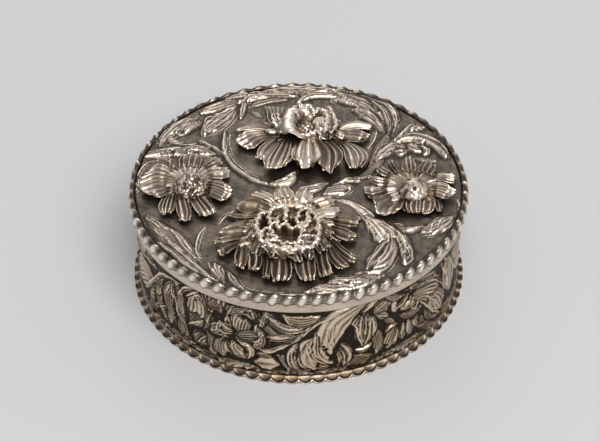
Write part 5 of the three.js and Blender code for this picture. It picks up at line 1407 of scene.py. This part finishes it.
backCup = {
    "middle": (2.0, 24.2), "across": 9.6, "deep": 8.6, "cells": 170, "floor": 1.6, "heart": 1.2,
    "spill": 0.5,
    "bodies": [(0.25, 0, [2.6, 4.0, 4.0, 2.8], [1.0, 1.9, 2.0, 1.2],
                [(5.6, 27.6), (6.2, 25), (6.4, 22), (5.4, 18.6)]),
               (0.25, 2, [2.2, 3.2, 2.8, 1.8], [1.0, 2.4, 2.8, 1.6],
                [(2.4, 21), (2.6, 19.6), (3.0, 18), (3.4, 16.6)]),
               (0.4, 3, [1.4, 2.2, 2.6, 2.2], [0.8, 1.6, 2.0, 1.4],
                [(-8.2, 32), (-7, 29.4), (-6, 26.6), (-4.6, 23.6)]),
               (0.4, 2, [1.4, 2.4, 2.8, 2.0], [0.6, 1.1, 1.2, 0.8],
                [(8.6, 32.6), (9.2, 29), (9.2, 25.6), (8.6, 21.6)])],
    "folds": [
        (0.95, 4.6, [(0, 20.4), (-1.6, 21.4), (-2.5, 24), (-2.6, 27), (-2.2, 29.8), (-1, 31.8), (0.6, 32.6),
                     (2, 32.2), (3, 31)]),
        (0.4, 5.0, [(-0.6, 32.8), (0.8, 33.6), (2.6, 33.2), (3.8, 32.2), (4, 30.8)]),
        (0.5, 4.6, [(4.4, 31.6), (5.6, 32), (7, 31), (7.8, 29), (7.8, 26.6), (7.4, 24), (7.6, 21), (8, 18)]),
        (0.4, 4.2, [(4.8, 28), (4.6, 26), (5.4, 24.2), (6, 22.4)]),
        (0.4, 3.6, [(8.4, 34), (8.8, 31), (9.8, 28), (10.3, 26), (9.8, 23.4), (8.8, 21.4)]),
        (0.4, 2.8, [(-9.4, 32.6), (-8.4, 30.6), (-8.6, 28.4), (-8, 26.6)]),
        (0.4, 3.0, [(-7, 31.2), (-7.4, 29), (-6.8, 26.8), (-6, 25)]),
        (0.4, 3.2, [(-5.6, 30.4), (-5.6, 28.4), (-4.8, 26), (-4, 23.6)]),
        (0.45, 3.6, [(0, 20.3), (2, 20.4), (4, 21.4), (4.8, 23)]),
        (0.4, 3.4, [(-3.4, 22), (-5.4, 21.2), (-7.6, 21), (-9, 21.6)]),
        (0.45, 3.2, [(8.4, 20.8), (10.4, 20.2), (11.8, 18.8), (12.8, 17.6)]),
        (0.4, 3.0, [(9, 23), (10.8, 22.2), (12.6, 21.8)])],
    "holes": [(-0.6, 26, 0.7), (-0.4, 28.6, 0.6), (3.4, 30, 0.6), (6.8, 29.2, 0.6), (0.4, 30.2, 0.5)]}


def carveFold(field, fold, seed):
    # a thin ragged fold of metal with steep sides
    half, top, points = fold
    wiggle = min(1, 0.4 / half)
    half = 1.35 * half
    line = smoothLine(points)
    line[:, 1] -= lean * (top - readingPlane)
    spot = nearLine(field, line, half * 4)
    if len(spot[0]) == 0:
        return
    t, side, length, _ = alongLine(line, field["x"][spot], field["y"][spot])
    side = side + wiggle * (0.22 * np.sin(length * 2.6 + seed) + 0.12 * np.sin(length * 5.1 + 3 * seed))
    ragged = 0.5 + 0.3 * np.sin(length * 1.7 + seed) + 0.2 * np.sin(length * 3.9 + 2.2 * seed)
    s = np.abs(side) / (half * (1 + wiggle * (ragged - 0.5) * 0.5))
    ends = np.clip(np.minimum(t, 1 - t) / 0.12, 0, 1) ** 0.5 * 0.25 + 0.75
    crest = top * ends * (0.99 + 0.06 * wiggle * (ragged - 0.5)) - 0.35 * np.clip(s, 0, 1) ** 2
    crest = crest - 1.6 * np.clip(s - 1, 0, 9)
    higher = crest > field["h"][spot]
    field["h"][spot] = np.maximum(field["h"][spot], crest)
    bright = np.clip(1.25 - s, 0, 1)
    field["tone"][spot] = np.where(higher, np.clip(0.75 - bright * 1.1, 0, 1), field["tone"][spot])


def makeCarvedPatch(name, s, replaced, material):
    cx, cy = s["middle"]
    gx = np.linspace(-s["across"], s["across"], s["cells"] + 1)
    gy = np.linspace(-s["deep"], s["deep"], s["cells"] + 1)
    x, y = np.meshgrid(cx + gx, cy + gy, indexing="ij")
    away = np.hypot((x - cx) / s["across"], (y - cy) / s["deep"])
    h = np.where(away < 0.5, s["heart"], s["floor"]) * np.clip((1.05 - away) / 0.25, 0, 1) ** 0.5
    tone = np.where(away < 0.5, 0.85, 0.5) + 0.15 * mottle(x, y, 31, (5, 2.2))
    field = {"x": x, "y": y, "h": h, "tone": tone}
    for pad in s["bodies"]:
        shade, strokes, rise, half, points = pad
        nearer = lean * (max(rise) - readingPlane)
        carvePad(field, (shade, strokes, rise, half, [(px, py - nearer) for px, py in points]))
    for k, fold in enumerate(s["folds"]):
        carveFold(field, fold, k)
    for px, py, size in s["holes"]:
        carvePit(field, px, py - lean * (s["floor"] - readingPlane), size)
    h = np.clip(softened(field["h"], 0.6) + 0.04 * mottle(x, y, 3, (3.4, 2.1)), 0.3, 5.4)
    hollow = np.clip(softened(field["tone"], 0.4) + 0.3 * hollowOf(h, 3.0, 0.8), 0, 1)
    bm = bmesh.new()
    layer = bm.verts.layers.float.new("hollow")
    made = bmesh.ops.create_grid(bm, x_segments=s["cells"], y_segments=s["cells"], size=1)["verts"]
    outside = []
    for v in made:
        i = int(round((v.co.x + 1) / 2 * s["cells"]))
        j = int(round((v.co.y + 1) / 2 * s["cells"]))
        v.co = (x[i, j], y[i, j], groundLevel + h[i, j])
        v[layer] = hollow[i, j]
        if away[i, j] > 1 or h[i, j] < s["spill"]:
            outside.append(v)
    bmesh.ops.delete(bm, geom=outside, context="VERTS")
    bmesh.ops.recalc_face_normals(bm, faces=bm.faces)
    return finishMesh(bm, name, "lid", replaced, material, thickness=0.3)


makeCarvedPatch("flower_front_ruffle", frontFrill, ["flower_front_frill"], giltPetalSilver)
makeCarvedPatch("flower_back_ruffle", backCup, ["flower_back_cup"], petalSilver)


# Floor, lights and camera

floorSize = 3.0  # metres from the middle to each side
bm = bmesh.new()
bmesh.ops.create_grid(bm, x_segments=1, y_segments=1, size=floorSize)
floorMesh = bpy.data.meshes.new("floor")
bm.to_mesh(floorMesh)
bm.free()
floor = bpy.data.objects.new("floor", floorMesh)
bpy.context.scene.collection.objects.link(floor)
paper = bpy.data.materials.new("paleGreyPaper")
paper.use_nodes = True
paperLook = paper.node_tree.nodes["Principled BSDF"].inputs
paperLook["Base Color"].default_value = (0.6, 0.6, 0.6, 1)
paperLook["Roughness"].default_value = 0.9
floorMesh.materials.append(paper)

view = {"place": (0, -347.231, 315.735), "target": (0.395, -6.344, 21.804), "lens": 102.6}
camera = bpy.data.objects.new("camera", bpy.data.cameras.new("camera"))
bpy.context.scene.collection.objects.link(camera)
camera.location = Vector(view["place"]) * mm
camera.rotation_euler = (Vector(view["target"]) - Vector(view["place"])).to_track_quat("-Z", "Y").to_euler()
camera.data.lens = view["lens"]
camera.data.clip_start = 0.01
bpy.context.scene.camera = camera

# places and sizes in metres, power in watts
lamps = {
    "keyBox": dict(place=(0.4, -1.0, 1.5), size=1.3, power=27.0),
    "backBox": dict(place=(-0.1, 0.75, 0.55), size=0.5, power=0.7),
}
for name, s in lamps.items():
    lamp = bpy.data.objects.new(name, bpy.data.lights.new(name, "AREA"))
    bpy.context.scene.collection.objects.link(lamp)
    lamp.location = s["place"]
    lamp.rotation_euler = (Vector((0, 0, 0.01)) - Vector(s["place"])).to_track_quat("-Z", "Y").to_euler()
    lamp.data.size = s["size"]
    lamp.data.energy = s["power"]

world = bpy.data.worlds.new("studio")
world.use_nodes = True
world.node_tree.nodes["Background"].inputs["Color"].default_value = (0.55, 0.55, 0.56, 1)
world.node_tree.nodes["Background"].inputs["Strength"].default_value = 0.9
bpy.context.scene.world = world
bpy.context.scene.view_settings.view_transform = "Standard"
print("stage ready")
